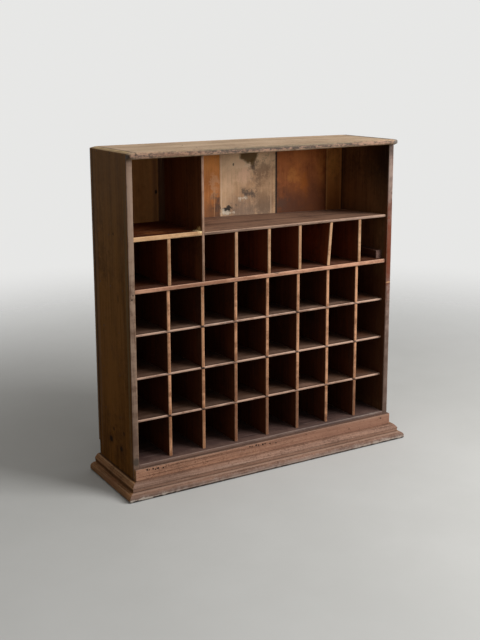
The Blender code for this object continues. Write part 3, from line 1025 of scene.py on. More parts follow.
def finish_case():
    """Finishes of the sides and the top."""
    inner_left = ("inner", ((116, 76, 42), (76, 48, 26)))
    inner_right = ("inner", ((132, 96, 62), (88, 62, 38)))
    end_grain = ("above", ((196, 170, 128), (150, 124, 90)))
    grey_end = ("above", ((122, 106, 90), (80, 68, 57)))
    knot = (14, 8, 4)
    finishes["side_left"] = wood(
        "stained_side_left", *STAINED, faces=(inner_left, *BARE, end_grain), worn=(140, 108, 78),
        # Soil and a painted warm shade tint darken the left side, which stays in shade.
        front=((152, 128, 110), (106, 83, 69)), front_reach=0.0035, soil_and_shade=0.6, knots=0.2, patina=0.6,
        specular=0.03,
        spots=(
            stain_and_shading(-0.5, 0.02, 1.066, 0.01, 0.4, 0.007, (190, 164, 122), 0.95, 0.6),
            stain_and_shading(-0.5, -0.092, 0.60, 0.01, 0.010, 0.7, (116, 102, 74), 0.55, 0.5),
            stain_and_shading(-0.5, -0.106, 0.60, 0.01, 0.0025, 0.7, (34, 24, 14), 0.6, 0.4),
            stain_and_shading(-0.5, 0.128, 0.60, 0.01, 0.012, 0.7, (124, 98, 78), 0.4, 0.8),
            stain_and_shading(-0.5, 0.150, 0.60, 0.01, 0.014, 0.9, (34, 28, 24), 0.8, 0.4),
            on_left(0.0, 1.08, 0.4, 0.42, (128, 100, 78), 0.45, 0.4, 0.0),
            stain_and_shading(-0.49, SIDE_FRONT, 0.10, 0.02, 0.012, 0.36, (102, 82, 71), 0.6, 0.6, 0.2),
            stain_and_shading(-0.49, SIDE_FRONT, 0.93, 0.02, 0.012, 0.18, (160, 138, 124), 0.35, 0.6, 0.0),
            on_left(0.0565, 0.1324, 0.030, 0.026, (58, 30, 6), 0.6, 0.6, 0.1),
            on_left(-0.0209, 0.1229, 0.022, 0.020, (58, 30, 6), 0.6, 0.6, 0.1),
            on_left(0.0565, 0.1324, 0.016, 0.015, knot, 0.95, 0.7),
            on_left(-0.0209, 0.1229, 0.011, 0.011, knot, 0.9, 0.7),
            on_left(-0.0435, 0.1805, 0.008, 0.010, knot, 0.7, 0.6),
            on_left(0.0339, 0.1738, 0.009, 0.008, knot, 0.7, 0.6),
            on_left(-0.0025, 0.8107, 0.006, 0.006, BLACK, 0.8, 0.4),
            on_left(-0.0264, 0.612, 0.005, 0.022, knot, 0.6, 0.6),
            stain_and_shading(-0.489, SIDE_FRONT, 0.108, 0.014, 0.02, 0.018, (80, 70, 62), 0.9, 0.5),
            stain_and_shading(-0.491, SIDE_FRONT, 0.624, 0.004, 0.01, 0.004, BLACK, 0.9, 0.3),
            stain_and_shading(-0.487, SIDE_FRONT, 0.637, 0.003, 0.01, 0.004, BLACK, 0.8, 0.3),
        ),
    )
    finishes["side_right"] = wood(
        "stained_side_right", (122, 80, 49), (79, 50, 30), faces=(inner_right, *BARE, grey_end),
        front=((146, 124, 113), (98, 77, 68)), front_reach=0.0035, worn=(140, 112, 90), knots=0.3,
        patina=0.7, specular=0.1,
        spots=(
            # Painted shade, near black, high on the inside face under the top.
            on_right(-0.10, 1.02, 0.15, 0.22, (34, 18, 9), 0.95, 0.3, 0.2),
            on_right(0.0, 0.36, 0.6, 0.30, (72, 34, 17), 0.75, 0.2, 0.7),
            on_right(-0.01, 1.04, 0.10, 0.10, (66, 38, 21), 0.6, 0.6, 0.0),
            on_right(-0.09, 0.85, 0.07, 0.10, (70, 42, 24), 0.5, 0.6, 0.0),
            on_right(0.11, 0.85, 0.06, 0.08, (158, 112, 66), 0.5, 0.7, 0.0),
            stain_and_shading(0.49, SIDE_FRONT, 0.70, 0.03, 0.02, 0.24, (108, 52, 29), 0.9, 0.8, 0.2),
            stain_and_shading(0.49, SIDE_FRONT, 0.567, 0.012, 0.012, 0.003, (196, 150, 110), 0.8, 0.8),
            stain_and_shading(0.49, SIDE_FRONT, 0.93, 0.02, 0.01, 0.10, (156, 138, 126), 0.3, 0.8, 0.2),
            stain_and_shading(0.49, SIDE_FRONT, 1.03, 0.02, 0.01, 0.03, (74, 66, 62), 0.5, 1.2),
            stain_and_shading(0.49, SIDE_FRONT, 0.22, 0.03, 0.012, 0.34, (94, 76, 66), 0.7, 0.6, 0.2),
        ),
    )
    finishes["top"] = wood(
        "worn_top", (190, 162, 132), (148, 119, 90), faces=(("ends", ((84, 52, 20), (52, 30, 10))), *BARE),
        front=((164, 130, 108), (78, 66, 58)), front_reach=0.004, front_blotch=2.6, front_grain=170.0,
        worn=(186, 160, 126), wear=0.35, pitted=0.35, patina=0.7, scratches=0.25, grime=0.25,
        knots=0.3, relief=0.6,
        spots=(
            stain_and_shading(-0.478, 0.03, 1.066, 0.0042, 0.3, 0.02, (62, 44, 30), 0.85, 0.3, 0.6),
            # Painted shade low on the left end of the front horn, under its corner.
            stain_and_shading(-0.5, -0.119, 1.055, 0.004, 0.016, 0.016, (44, 28, 14), 0.9, 0.4, 0.5),
            stain_and_shading(0.4795, 0.03, 1.066, 0.0022, 0.2, 0.02, (62, 44, 30), 0.7, 0.4),
            stain_and_shading(0.497, -0.13, 1.058, 0.022, 0.03, 0.02, (98, 96, 93), 0.85, 0.9),
            stain_and_shading(0.02, -0.1315, 1.063, 0.46, 0.007, 0.007, (100, 88, 73), 0.9, 0.5, 0.5),
            stain_and_shading(-0.34, -0.1326, 1.054, 0.12, 0.006, 0.012, (156, 112, 86), 0.4, 1.0, 0.0),
            stain_and_shading(-0.38, 0.0, 1.066, 0.13, 0.13, 0.01, (146, 120, 92), 0.35, 0.9, 0.0),
        ),
    )


def finish_back():
    """Finishes of the five back boards."""
    ends = ((112, 84, 58), (78, 56, 38))
    sawn = ((150, 122, 92), (104, 80, 58))
    smudge = (96, 78, 64)
    fleck = (216, 200, 178)

    def back_faces(tone):
        rear = [[level * tone for level in colour] for colour in RAW]
        return (("ends", ends), ("rear", rear), ("below", RAW), ("above", sawn))

    def board(tone):
        return {"faces": back_faces(tone), "rings": 0.12, "ring_rate": 70.0, "streaks": 0.35, "broad": 1.1}

    finishes["back_1"] = wood(
        "back_pine_1", (224, 168, 105), (179, 126, 71), grime=0.5, **board(1.04),
        spots=(
            on_back(-0.279, 0.93, 0.014, 0.3, (134, 86, 66), 0.6, 0.5, 0.1),
            on_back(-0.275, 0.908, 0.006, 0.009, BLACK, 0.9, 0.5),
            on_back(-0.2688, 0.93, 0.0022, 0.3, (222, 180, 122), 0.7, 0.4),
        ),
    )
    finishes["back_2"] = wood(
        "back_pine_2", (206, 131, 69), (164, 97, 45), worn=(214, 164, 118), scratches=0.5, grime=0.3,
        **board(0.88),
        spots=(
            on_back(-0.25, 0.92, 0.020, 0.9, (92, 72, 56), 0.9, 0.15, 0.7),
            on_back(-0.055, 0.90, 0.020, 0.07, (204, 160, 122), 0.55, 3.4, 0.2),
            # Next two: painted light high up, where the top's overhang shades the board, and painted shade
            # low down, where the lamp lights it most.
            on_back(-0.07, 0.998, 0.10, 0.064, (240, 160, 84), 0.85, 0.3, 0.0),
            on_back(-0.06, 0.81, 0.08, 0.100, (112, 71, 43), 0.9, 0.6, 0.1),
            on_back(-0.044, 0.845, 0.028, 0.060, (84, 60, 47), 0.85, 1.2, 0.1),
        ),
    )
    finishes["back_3"] = wood(
        "back_pine_3", (224, 184, 144), (182, 142, 106), faces=back_faces(1.12), worn=(226, 196, 156),
        rings=0.25, ring_rate=90.0, grime=0.3, scratches=0.12, knots=0.2, streaks=0.35,
        swirl=((0.10, BACK_FACE, 0.945), (0.09, 0.05, 0.075), 0.035),
        spots=(
            # Next two: painted light high up, where the top's overhang shades the board, and painted shade
            # low down, where the lamp lights it most.
            on_back(0.06, 0.998, 0.20, 0.064, (255, 222, 180), 0.9, 0.3, 0.0),
            on_back(0.06, 0.81, 0.20, 0.100, (114, 94, 81), 0.8, 0.8, 0.0),
            on_back(0.14, 0.84, 0.07, 0.075, (94, 73, 57), 0.8, 0.8, 0.1),
            on_back(0.140, 0.91, 0.050, 0.10, (157, 121, 89), 0.7, 1.0, 0.0),
            on_back(0.0, 0.93, 0.036, 0.11, (244, 206, 168), 0.5, 0.9, 0.0),
            on_back(0.064, 0.945, 0.042, 0.050, (238, 196, 162), 0.75, 1.0, 0.2),
            on_back(0.080, 1.014, 0.044, 0.036, (98, 71, 30), 0.95, 0.5, 0.75),
            on_back(0.096, 0.985, 0.012, 0.020, (98, 71, 30), 0.9, 0.7, 0.5),
            on_back(0.046, 0.982, 0.032, 0.020, (240, 204, 166), 0.9, 0.6, 0.6),
            on_back(0.075, 0.975, 0.020, 0.007, (242, 212, 180), 0.7, 1.2, 0.4),
            on_back(0.135, 0.955, 0.050, 0.045, (112, 85, 64), 0.55, 3.2, 0.1),
            on_back(0.103, 0.962, 0.012, 0.034, smudge, 0.75, 1.8, 0.0),
            on_back(0.112, 0.920, 0.020, 0.016, smudge, 0.5, 1.8, 0.0),
            on_back(0.078, 0.881, 0.036, 0.020, (80, 68, 60), 0.85, 2.4, 0.1),
            on_back(0.055, 0.864, 0.018, 0.008, fleck, 0.9, 3.0, 0.3),
            on_back(-0.008, 0.832, 0.028, 0.018, (30, 26, 23), 0.95, 3.0, 0.3),
            on_back(-0.004, 0.817, 0.026, 0.006, fleck, 0.8, 3.2, 0.3),
            on_back(-0.022, 0.826, 0.006, 0.010, fleck, 0.7, 2.4, 0.3),
            on_back(0.020, 0.982, 0.004, 0.006, smudge, 0.9, 0.6),
            on_back(-0.027, 0.93, 0.0022, 0.3, (236, 204, 170), 0.6, 0.5),
            on_back(0.172, 0.93, 0.0022, 0.3, (220, 184, 148), 0.5, 0.8),
            on_back(0.1935, 0.93, 0.004, 0.3, (30, 16, 10), 0.95, 0.3, 0.6),
        ),
    )
    finishes["back_4"] = wood(
        "back_pine_4", (176, 101, 50), (126, 67, 29), grime=0.3, patina=0.8, **board(0.94),
        spots=(
            # Painted shade low down, where the lamp lights the board most.
            on_back(0.30, 0.80, 0.40, 0.17, (104, 55, 26), 0.95, 0.6, 0.3),
            on_back(0.275, 0.935, 0.045, 0.09, (182, 104, 40), 0.7, 1.4, 0.0),
            on_back(0.315, 0.90, 0.030, 0.07, (168, 92, 26), 0.7, 1.2, 0.0),
            on_back(0.385, 0.96, 0.030, 0.10, (200, 124, 58), 0.6, 1.4, 0.0),
            on_back(0.4075, 0.93, 0.003, 0.3, (40, 22, 12), 0.9, 0.3, 0.6),
            on_back(0.265, 0.925, 0.040, 0.040, (192, 124, 60), 0.55, 2.2, 0.0),
            on_back(0.25, 0.81, 0.12, 0.075, (78, 43, 24), 0.75, 0.8, 0.1),
            on_back(0.215, 0.835, 0.04, 0.04, (76, 56, 44), 0.5, 1.6, 0.0),
            # Painted light high up, where the top's overhang shades the board.
            on_back(0.30, 1.00, 0.09, 0.062, (206, 122, 62), 0.6, 0.5, 0.0),
            on_back(0.1935, 0.93, 0.005, 0.3, (30, 16, 10), 0.95, 0.3, 0.6),
        ),
    )
    finishes["back_5"] = wood(
        "back_pine_5", (216, 145, 77), (162, 104, 53), **board(1.06),
        spots=(
            # Painted shade low down, where the lamp lights the board most.
            on_back(0.45, 0.80, 0.20, 0.12, (150, 92, 46), 0.7, 0.5, 0.1),
            on_back(0.44, 0.955, 0.05, 0.07, (248, 174, 88), 0.6, 0.9, 0.0),
            on_back(0.412, 0.93, 0.0025, 0.3, (214, 160, 104), 0.7, 0.5),
            on_back(0.471, 0.93, 0.0025, 0.3, (214, 156, 96), 0.6, 0.5),
            on_back(0.4797, 0.93, 0.004, 0.3, (36, 20, 12), 0.9, 0.3, 0.6),
        ),
    )


def finish_slats():
    """Finishes of the grid, the short dividers and the partition."""
    finishes["slat"] = wood(
        "slat_pine", (88, 44, 18), (58, 28, 11), scratches=0.12,
        front=((204, 151, 114), (144, 98, 68)), worn=(210, 168, 134), front_blotch=2.0,
        spots=(
            on_slats(0.04, 0.14, 0.26, 0.24, (108, 70, 49), 0.85, 0.8, 0.3),
            on_slats(0.33, 0.14, 0.13, 0.21, (112, 73, 50), 0.85, 0.8, 0.3),
            on_slats(-0.24, 0.14, 0.05, 0.16, (140, 96, 66), 0.6, 0.8, 0.3),
            on_slats(-0.119, 0.20, 0.06, 0.20, (112, 70, 48), 0.75, 0.8, 0.3),
            on_slats(0.06, 0.54, 0.11, 0.18, (142, 98, 70), 0.5, 0.8, 0.2),
            on_slats(-0.24, 0.50, 0.05, 0.16, (216, 164, 122), 0.4, 0.8, 0.2),
        ),
    )
    finishes["short_slat"] = wood(
        "short_slat_pine", (120, 59, 28), (82, 39, 18), scratches=0.12,
        front=((190, 149, 113), (148, 105, 73)), worn=(200, 164, 130), front_blotch=1.8,
        spots=(
            on_short_slat(-0.357, (140, 94, 60), 0.6, 0.8, 0.2),
            on_short_slat(-0.118, (142, 102, 82), 0.4, 0.8, 0.2),
            on_short_slat(0.126, (146, 98, 68), 0.4, 0.8, 0.2),
            stain_and_shading(0.247, 0.0, 0.72, 0.012, 0.085, 0.07, (150, 72, 32), 0.6, 0.9, 0.0),
            on_short_slat(0.371, (214, 172, 134), 0.2, 0.8, 0.2),
        ),
    )
    finishes["partition"] = wood(
        "partition_pine", (122, 72, 38), (84, 47, 24), scratches=0.12,
        front=((160, 127, 106), (122, 90, 70)), worn=(174, 140, 114),
        # A pale chip, with a painted highlight so that it stays bright in the partition's shade.
        spots=(stain_and_shading(-0.2442, -0.082, 0.814, 0.004, 0.016, 0.010, (236, 210, 156), 1.0, 1.8),),
    )
    finishes["shelf"] = wood(
        "grid_shelf_pine", (96, 58, 36), (68, 40, 25), scratches=0.2,
        faces=(("above", ((90, 64, 49), (56, 37, 28))),),
        front=((190, 154, 132), (134, 100, 82)), worn=(204, 178, 160), front_blotch=2.2,
        spots=(
            *dust(0.507, (122, 96, 80), 0.7, 0.23, 0.18, (142, 112, 95), 0.6),
            *dust(0.370, (112, 88, 73), 0.6, 0.18, 0.20, (128, 100, 83), 0.5),
            *dust(0.233, (106, 84, 70), 0.5, 0.18, 0.07, (146, 112, 94), 0.6),
            stain_and_shading(0.24, -0.0886, 0.2295, 0.24, 0.004, 0.006, (144, 112, 92), 0.4, 0.6, 0.2),
            stain_and_shading(0.43, -0.03, 0.37, 0.062, 0.056, 1.0, (96, 58, 36), 0.65, 0.5, 0.3),
        ),
    )


def finish_shelves():
    """Finishes of the thick shelf, both upper shelves and the bottom."""
    finishes["main_shelf"] = wood(
        "main_shelf_pine", (96, 60, 40), (68, 42, 27), scratches=0.3, specular=0.05,
        faces=(("above", ((77, 42, 26), (48, 24, 14))),),
        front=((198, 150, 122), (150, 107, 84)), worn=(208, 168, 144), front_blotch=1.4,
        spots=(
            stain_and_shading(-0.10, -0.074, 0.650, 0.9, 0.030, 0.005, (92, 60, 46), 0.75, 0.7, 0.1),
            stain_and_shading(0.23, -0.066, 0.650, 0.16, 0.046, 0.005, (112, 77, 61), 0.7, 0.9, 0.1),
            stain_and_shading(0.032, -0.1016, 0.650, 0.014, 0.012, 0.005, BLACK, 0.8, 1.0),
        ),
    )
    finishes["upper_left"] = wood(
        "upper_left_pine", (104, 58, 32), (74, 40, 22), specular=0.05,
        faces=(("above", ((88, 41, 17), (60, 27, 11))),),
        front=((216, 175, 132), (182, 137, 98)), worn=(224, 190, 150), front_blotch=1.0,
        spots=(
            # A pale chip at the partition, with a painted highlight so that it stays bright in the
            # partition's shade.
            stain_and_shading(-0.250, -0.088, 0.811, 0.012, 0.020, 0.01, (240, 216, 160), 1.0, 2.0),
            stain_and_shading(-0.270, -0.05, 0.811, 0.012, 0.02, 0.01, (40, 24, 14), 0.7, 1.2),
            stain_and_shading(-0.29, -0.1016, 0.796, 0.08, 0.01, 0.006, (92, 58, 32), 0.7, 0.8),
            stain_and_shading(-0.39, -0.05, 0.811, 0.05, 0.03, 0.01, (150, 92, 50), 0.5, 2.4, 0.0),
            stain_and_shading(-0.44, 0.02, 0.811, 0.05, 0.05, 0.01, (112, 66, 32), 0.5, 2.0, 0.0),
        ),
    )
    finishes["upper_right"] = wood(
        "upper_right_pine", (124, 92, 72), (94, 66, 50), scratch_dark=0.8, broad=1.4,
        faces=(("above", ((150, 115, 93), (104, 77, 62))),),
        front=((150, 122, 104), (106, 82, 68)), worn=(186, 152, 128), wear=0.8,
        spots=(
            stain_and_shading(0.42, -0.1006, 0.8015, 0.3, 0.006, 0.02, (186, 158, 142), 0.4, 0.8, 0.0),
            stain_and_shading(-0.10, -0.1006, 0.8015, 0.2, 0.006, 0.02, (124, 98, 82), 0.35, 0.8, 0.0),
        ),
    )
    finishes["bottom"] = wood(
        "bottom_pine", (84, 63, 57), (58, 41, 38), faces=(("below", RAW),), wear=0.55,
        front=((112, 90, 80), (80, 62, 55)), worn=(148, 131, 121), front_blotch=1.8,
        spots=(
            stain_and_shading(0.0, -0.100, 0.096, 1.5, 0.035, 0.02, (112, 88, 78), 0.5, 1.4, 0.0),
            stain_and_shading(0.41, SIDE_FRONT, 0.095, 0.09, 0.010, 0.005, (160, 146, 136), 0.5, 2.8, 0.2),
            stain_and_shading(0.30, -0.104, 0.096, 0.3, 0.02, 0.02, (72, 61, 60), 0.5, 0.9, 0.1),
            stain_and_shading(-0.30, SIDE_FRONT, 0.087, 0.24, 0.01, 0.02, (132, 100, 83), 0.45, 0.8, 0.0),
        ),
    )


def finish_plinth():
    """Finishes of the fascia and of the moulding's front and returns."""
    # Colour of the dark joints of the plinth, also used for painted shade under the cap's overhang.
    joint_and_shade = (66, 46, 34)
    finishes["plinth"] = wood(
        "plinth_pine", (175, 130, 104), (125, 89, 70), worn=(192, 156, 132), wear=0.3,
        faces=(("ends", STAINED), *BARE, ("above", ((98, 74, 60), (64, 48, 40)))),
        scratches=0.4, scratch_dark=0.5, streaks=0.6, relief=0.8, knots=0.3, patina=0.5, grime=0.2,
        scores=0.6, pitted=0.7, broad=0.7,
        spots=(
            stain_and_shading(0.3, -0.1244, 0.07, 0.7, 0.1, 0.2, (140, 101, 83), 0.6, 0.6, 0.0),
            all_along(-0.1244, 0.0885, 0.1, 0.0034, (84, 64, 54), 0.6, 0.5, 0.3),
            stain_and_shading(0.452, -0.1244, 0.0805, 0.010, 0.1, 0.0035, (104, 84, 46), 0.7, 1.4, 0.2),
            all_along(-0.1244, 0.0515, 0.1, 0.0022, joint_and_shade, 0.4, 0.4, 0.4),
        ),
    )
    finishes["moulding_front"] = wood(
        "moulding_pine_front", (150, 114, 94), (104, 76, 62), faces=BARE, worn=(174, 144, 126),
        wear=0.55, scratches=0.5, scratch_dark=0.6, streaks=0.6, relief=0.9, knots=0.2, patina=0.6,
        grime=0.25, scores=0.6, pitted=0.8, broad=0.7,
        spots=(
            stain_and_shading(-0.56, -0.14, 0.03, 0.62, 0.2, 0.2, (100, 76, 63), 0.5, 0.5, 0.0),
            all_along(-0.16, 0.007, 0.2, 0.015, (114, 96, 87), 0.5, 0.5, 0.3),
            all_along(-0.162, 0.0086, 0.05, 0.0024, (180, 164, 153), 0.55, 2.0, 0.2),
            # Painted contact shadow along the foot, where the base stands on the floor.
            all_along(-0.16, 0.0, 0.2, 0.0080, (24, 20, 18), 0.95, 0.2, 0.7),
            all_along(-0.15, 0.0305, 0.2, 0.0055, (150, 118, 100), 0.45, 0.8, 0.3),
            all_along(-0.146, 0.0236, 0.05, 0.0018, (170, 140, 122), 0.6, 1.4, 0.3),
            # Painted shade under the overhang of the cap's slope, along the top of the fillet.
            all_along(-0.14, 0.0374, 0.2, 0.0014, joint_and_shade, 0.5, 0.4, 0.4),
            all_along(-0.14, 0.0250, 0.2, 0.0012, joint_and_shade, 0.4, 0.4, 0.4),
            stain_and_shading(-0.50, -0.162, 0.007, 0.10, 0.02, 0.005, (200, 188, 176), 0.75, 3.0, 0.2),
            stain_and_shading(0.05, -0.162, 0.010, 0.7, 0.02, 0.010, (160, 138, 126), 0.4, 2.6, 0.0),
            stain_and_shading(0.44, -0.162, 0.009, 0.12, 0.02, 0.005, (190, 176, 164), 0.5, 2.6, 0.1),
        ),
    )
    finishes["moulding_side"] = wood(
        "moulding_pine_side", (168, 122, 84), (116, 82, 54), faces=BARE, worn=(190, 158, 126),
        wear=0.5, scratches=0.4, scratch_dark=0.5, streaks=0.8, relief=0.8, knots=0.2, scores=0.4,
        pitted=0.5, specular=0.05,
        spots=(
            # Painted shade on the fillet of the returns, under the cap's overhang.
            all_along(0.0, 0.0310, 3.0, 0.0066, (84, 52, 22), 0.7, 0.3, 0.6),
            # Painted contact shadow along the foot, where the base stands on the floor.
            all_along(0.0, 0.0, 3.0, 0.0052, (24, 20, 18), 0.9, 0.2, 0.6),
            stain_and_shading(-0.5, 0.0, 0.051, 0.0085, 3.0, 0.006, (48, 30, 14), 0.85, 0.3, 0.6),
            # Painted highlight along the top edge of the cap, as if lit from above.
            stain_and_shading(-0.511, 0.0, 0.0505, 0.0024, 3.0, 0.003, (206, 172, 134), 0.5, 1.2, 0.3),
            stain_and_shading(-0.53, -0.02, 0.010, 0.03, 0.07, 0.03, (150, 96, 68), 0.4, 0.8, 0.0),
            stain_and_shading(-0.53, -0.160, 0.004, 0.012, 0.012, 0.008, (190, 176, 160), 0.7, 2.6, 0.2),
        ),
    )


def finish_rest():
    """Finishes of the pieces under the case, the small cleat and the nails."""
    finishes["raw"] = wood("raw_pine", *RAW, worn=(170, 136, 100))
    finishes["cleat"] = wood(
        "cleat_pine", (84, 50, 34), (58, 34, 23), worn=(150, 118, 104), wear=0.5,
        front=((136, 106, 95), (98, 72, 63)), front_reach=0.004,
    )
    finishes["iron"] = iron()


def iron():
    """Old nail heads: dark iron with rust."""
    nodes = Nodes("old_iron")
    place = nodes.add("TexCoord").outputs["Object"]
    rust = nodes.noise(place, (160.0, 160.0, 160.0), 4.0, 0.65)
    tint = nodes.band(rust, 0.4, 0.65)
    nodes.surface("Base Color", nodes.mix(tint, srgb(48, 42, 40), srgb(86, 52, 34)))
    nodes.surface("Metallic", nodes.band(rust, 0.6, 0.4, 0.1, 0.8))
    nodes.surface("Roughness", nodes.band(rust, 0.3, 0.7, 0.45, 0.85))
    nodes.bump(rust, 0.6, IRON_RELIEF)
    return nodes.material


def add_nails(name, axis, face, places, out=1.0):
    """Hammered nail heads on a flat face that looks along an axis, at (u, v) places; out is -1
    where the face looks the other way."""
    u, v = [other for other in (X, Y, Z) if other != axis]
    heads = bmesh.new()
    for place in places:
        rings = []
        turn = randoms.uniform(0.0, pi)
        for share, rise in NAIL_RINGS:
            ring = []
            for step in range(NAIL_SIDES):
                angle = turn + step * 2.0 * pi / NAIL_SIDES
                reach = NAIL_RADIUS * share * randoms.uniform(0.88, 1.12)
                point = [0.0, 0.0, 0.0]
                point[u] = place[0] + reach * cos(angle)
                point[v] = place[1] + reach * sin(angle)
                point[axis] = face + out * rise
                ring.append(heads.verts.new(point))
            rings.append(ring)
        for outer, inner in zip(rings, rings[1:]):
            for step in range(NAIL_SIDES):
                after = (step + 1) % NAIL_SIDES
                heads.faces.new((outer[step], outer[after], inner[after], inner[step]))
        heads.faces.new(rings[-1])
        heads.faces.new(rings[0][::-1])
    bmesh.ops.recalc_face_normals(heads, faces=heads.faces)
    mesh = bpy.data.meshes.new(name)
    heads.to_mesh(mesh)
    heads.free()
    mesh.materials.append(finishes["iron"])
    mesh.shade_smooth()
    piece = add_object(name, mesh)
    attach(piece, "root")


def nail_case():
    """Nails through the sides, top and back into the boards behind."""
    for side, upper, out in (("left", "upper_left_shelf", -1.0), ("right", "upper_right_shelf", 1.0)):
        low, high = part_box("side_panel_" + side)
        face = low[X] if out < 0.0 else high[X]
        rows = [("top_board", 3), ("main_shelf", 3), (upper, 3), *[(node, 2) for node in grid_shelves]]
        places = []
        for node, count in rows:
            board_low, board_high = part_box(node)
            for step in range(count):
                share = (step + 0.5) / count
                y = board_low[Y] + (board_high[Y] - board_low[Y]) * share + randoms.uniform(-0.006, 0.006)
                places.append((y, middle(node, Z) + randoms.uniform(-0.001, 0.001)))
        add_nails("nails_side_" + side, X, face, places, out)

    low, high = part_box("top_board")
    places = []
    for share in (0.25, 0.55, 0.85):
        y = low[Y] + (high[Y] - low[Y]) * share + randoms.uniform(-0.008, 0.008)
        places.append((middle("upper_partition", X) + randoms.uniform(-0.001, 0.001), y))
    add_nails("nails_top", Z, high[Z], places)

    places = []
    for number in range(1, 6):
        low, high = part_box("back_board_%d" % number)
        for node in ("grid_shelf_3", "main_shelf", "upper_right_shelf", "top_board"):
            for share in (0.15, 0.85):
                places.append((low[X] + (high[X] - low[X]) * share, middle(node, Z)))
    for side in ("left", "right"):
        for step in range(5):
            z = 0.16 + step * 0.2 + randoms.uniform(-0.02, 0.02)
            places.append((middle("side_panel_" + side, X), z))
    add_nails("nails_back", Y, high[Y], places)


def worm_holes():
    """Pits in the fascia's face as (x, z, radius, depth): old holes and dents."""
    pits = [
        (-0.461, 0.0815, 0.0030, 0.003), (-0.453, 0.0800, 0.0020, 0.003), (-0.440, 0.0805, 0.0028, 0.003),
        (-0.432, 0.0775, 0.0022, 0.003), (-0.423, 0.0790, 0.0032, 0.003), (-0.405, 0.0770, 0.0024, 0.003),
        (-0.452, 0.0600, 0.0014, 0.002), (-0.086, 0.0812, 0.0026, 0.003), (-0.078, 0.0795, 0.0020, 0.003),
        (-0.062, 0.0812, 0.0034, 0.003), (-0.053, 0.0800, 0.0024, 0.003), (-0.036, 0.0790, 0.0030, 0.003),
        (-0.027, 0.0805, 0.0022, 0.003), (-0.008, 0.0768, 0.0026, 0.003), (0.016, 0.0740, 0.0022, 0.002),
        (0.138, 0.0790, 0.0016, 0.002), (0.320, 0.0640, 0.0022, 0.002), (0.459, 0.0775, 0.0026, 0.002),
    ]
    for index in range(WORM_HOLES):
        x = -0.46 + 0.92 * (index + randoms.uniform(0.2, 0.8)) / WORM_HOLES
        pits.append((x, randoms.uniform(0.057, 0.070), randoms.uniform(0.0006, 0.0011), 0.002))
    return pits


def back_outline(node):
    """Outline of a back board whose long edges are drawn up to its neighbours."""
    low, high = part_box(node)
    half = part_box("side_panel_right")[1][X]
    left = max(low[X] - BACK_SEAM, -half)
    right = min(high[X] + BACK_SEAM, half)
    return [(left, low[Z]), (right, low[Z]), (right, high[Z]), (left, high[Z])]


def top_joint():
    """Where the top meets the sides: its half width between them, and the rear of its horns."""
    side_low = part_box("side_panel_right")[0]
    return side_low[X] - FIT, side_low[Y] - FIT


def tighten_joint(shape):
    """Draws the rounding of the top in where it meets the sides, so that the joint is narrow."""
    low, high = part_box("top_board")
    inner, notch = top_joint()
    reach = TOP_ROUNDING + SUPPORT + TOP_JOINT_MARGIN
    x, y, z = shape.points.T
    across = np.abs(x)
    beside = (across > inner - reach) & (across < inner + 2.0 * TOP_JOINT_MARGIN) & (y > notch)
    behind = (across > inner) & (y > notch - reach)
    joint = beside | behind
    drawn = inner - (inner - across) * TOP_JOINT_SHARE
    shape.points[beside, X] = (np.sign(x) * drawn)[beside]
    shape.points[behind, Y] = (notch - (notch - y) * TOP_JOINT_SHARE)[behind]
    upper = joint & (z > high[Z] - reach)
    lower = joint & (z < low[Z] + reach)
    shape.points[upper, Z] = high[Z] - (high[Z] - z[upper]) * TOP_JOINT_SHARE
    shape.points[lower, Z] = low[Z] + (z[lower] - low[Z]) * TOP_JOINT_SHARE
    thin = (y < notch - TOP_LIP_DEPTH) & (z < (low[Z] + high[Z]) / 2)
    share = np.clip((x - TOP_WORN_START) / (high[X] - TOP_WORN_START), 0.0, 1.0)
    shape.points[thin, Z] += TOP_WORN_DEPTH * share[thin]


def top_outline():
    """Outline of the top: it lies between the sides, with horns in front of them."""
    low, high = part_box("top_board")
    inner, notch = top_joint()
    outline = [(high[X], notch), (inner, notch), (inner, high[Y])]
    outline += [(-inner, high[Y]), (-inner, notch), (low[X], notch)]
    for corner_x, first in ((low[X] + TOP_CORNER_RADIUS, pi), (high[X] - TOP_CORNER_RADIUS, 1.5 * pi)):
        for step in range(TOP_CORNER_STEPS + 1):
            angle = first + step * pi / 2 / TOP_CORNER_STEPS
            x = corner_x + TOP_CORNER_RADIUS * cos(angle)
            outline.append((x, low[Y] + TOP_CORNER_RADIUS * (1.0 + sin(angle))))
    return outline


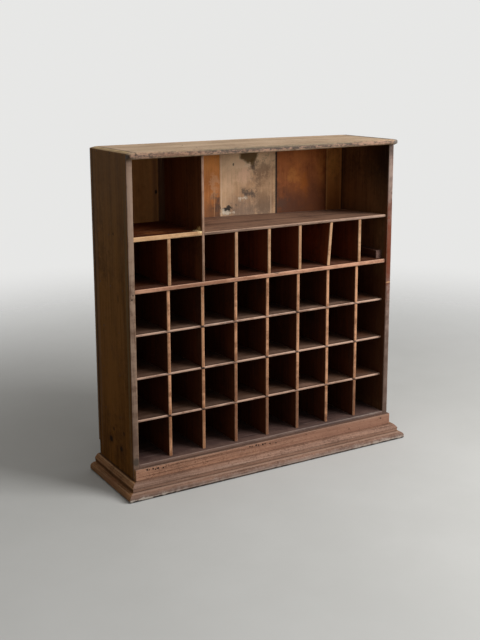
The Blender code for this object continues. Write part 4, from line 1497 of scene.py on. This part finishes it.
finish_case()
finish_back()
finish_slats()
finish_shelves()
finish_plinth()
finish_rest()
add_camera()
add_world()
add_lamp("key", KEY_PLACE, KEY_SIZE, KEY_POWER)
add_lamp("overhead", TOP_PLACE, TOP_SIZE, TOP_POWER)
add_floor()

for side in ("left", "right"):
    dress("side_panel_" + side, X, Z, finishes["side_" + side], radius=0.002, bite=0.0012)
    dress("bottom_cleat_" + side, X, Y, finishes["raw"], bow=0.0)
dress(
    "top_board", Z, X, finishes["top"], radius=TOP_ROUNDING, bite=0.0030, outline=top_outline(),
    reach=EVERYWHERE, mend=tighten_joint,
)
dress("bottom_board", Z, X, finishes["bottom"], radius=0.002, bite=0.0012)
for number in range(1, 6):
    node = "back_board_%d" % number
    outline = back_outline(node)
    dress(node, Y, Z, finishes["back_%d" % number], radius=0.001, bite=0.0006, outline=outline)
for node in grid_dividers:
    outline = comb_outline(node, grid_shelves, X, Z)
    dress(node, X, Z, finishes["slat"], radius=SLAT_RADIUS, bite=0.0010, outline=outline, lapped=grid_shelves)
for node in grid_shelves:
    outline = comb_outline(node, grid_dividers, Z, X)
    dress(node, Z, X, finishes["shelf"], radius=0.0022, bite=0.0010, outline=outline, lapped=grid_dividers)
dress("main_shelf", Z, X, finishes["main_shelf"], radius=0.0026, bite=0.0016)
for number in range(1, 7):
    node = "short_divider_%d" % number
    if number == LEANING_DIVIDER:
        dress_leaning(node, "short_divider_%d" % (number - 1), finishes["short_slat"])
    else:
        dress(node, X, Z, finishes["short_slat"], radius=SLAT_RADIUS)
dress("upper_partition", X, Z, finishes["partition"], radius=SLAT_RADIUS)
dress("upper_left_shelf", Z, X, finishes["upper_left"], radius=0.0018, bite=0.0010)
dress("upper_right_shelf", Z, X, finishes["upper_right"], radius=0.0026, bite=0.0012, mend=twist_shelf)
dress("shelf_cleat", X, Y, finishes["cleat"])
dress("plinth_fascia", Y, X, finishes["plinth"], radius=0.0020, bite=0.0014, marks=worm_holes())
dress_moulding("base_moulding", base_profile())
dress_moulding("base_cap", cap_profile())
for number in range(1, 4):
    dress_block("glue_block_%d" % number, finishes["raw"])
nail_case()

bpy.context.scene.view_settings.view_transform = "Standard"
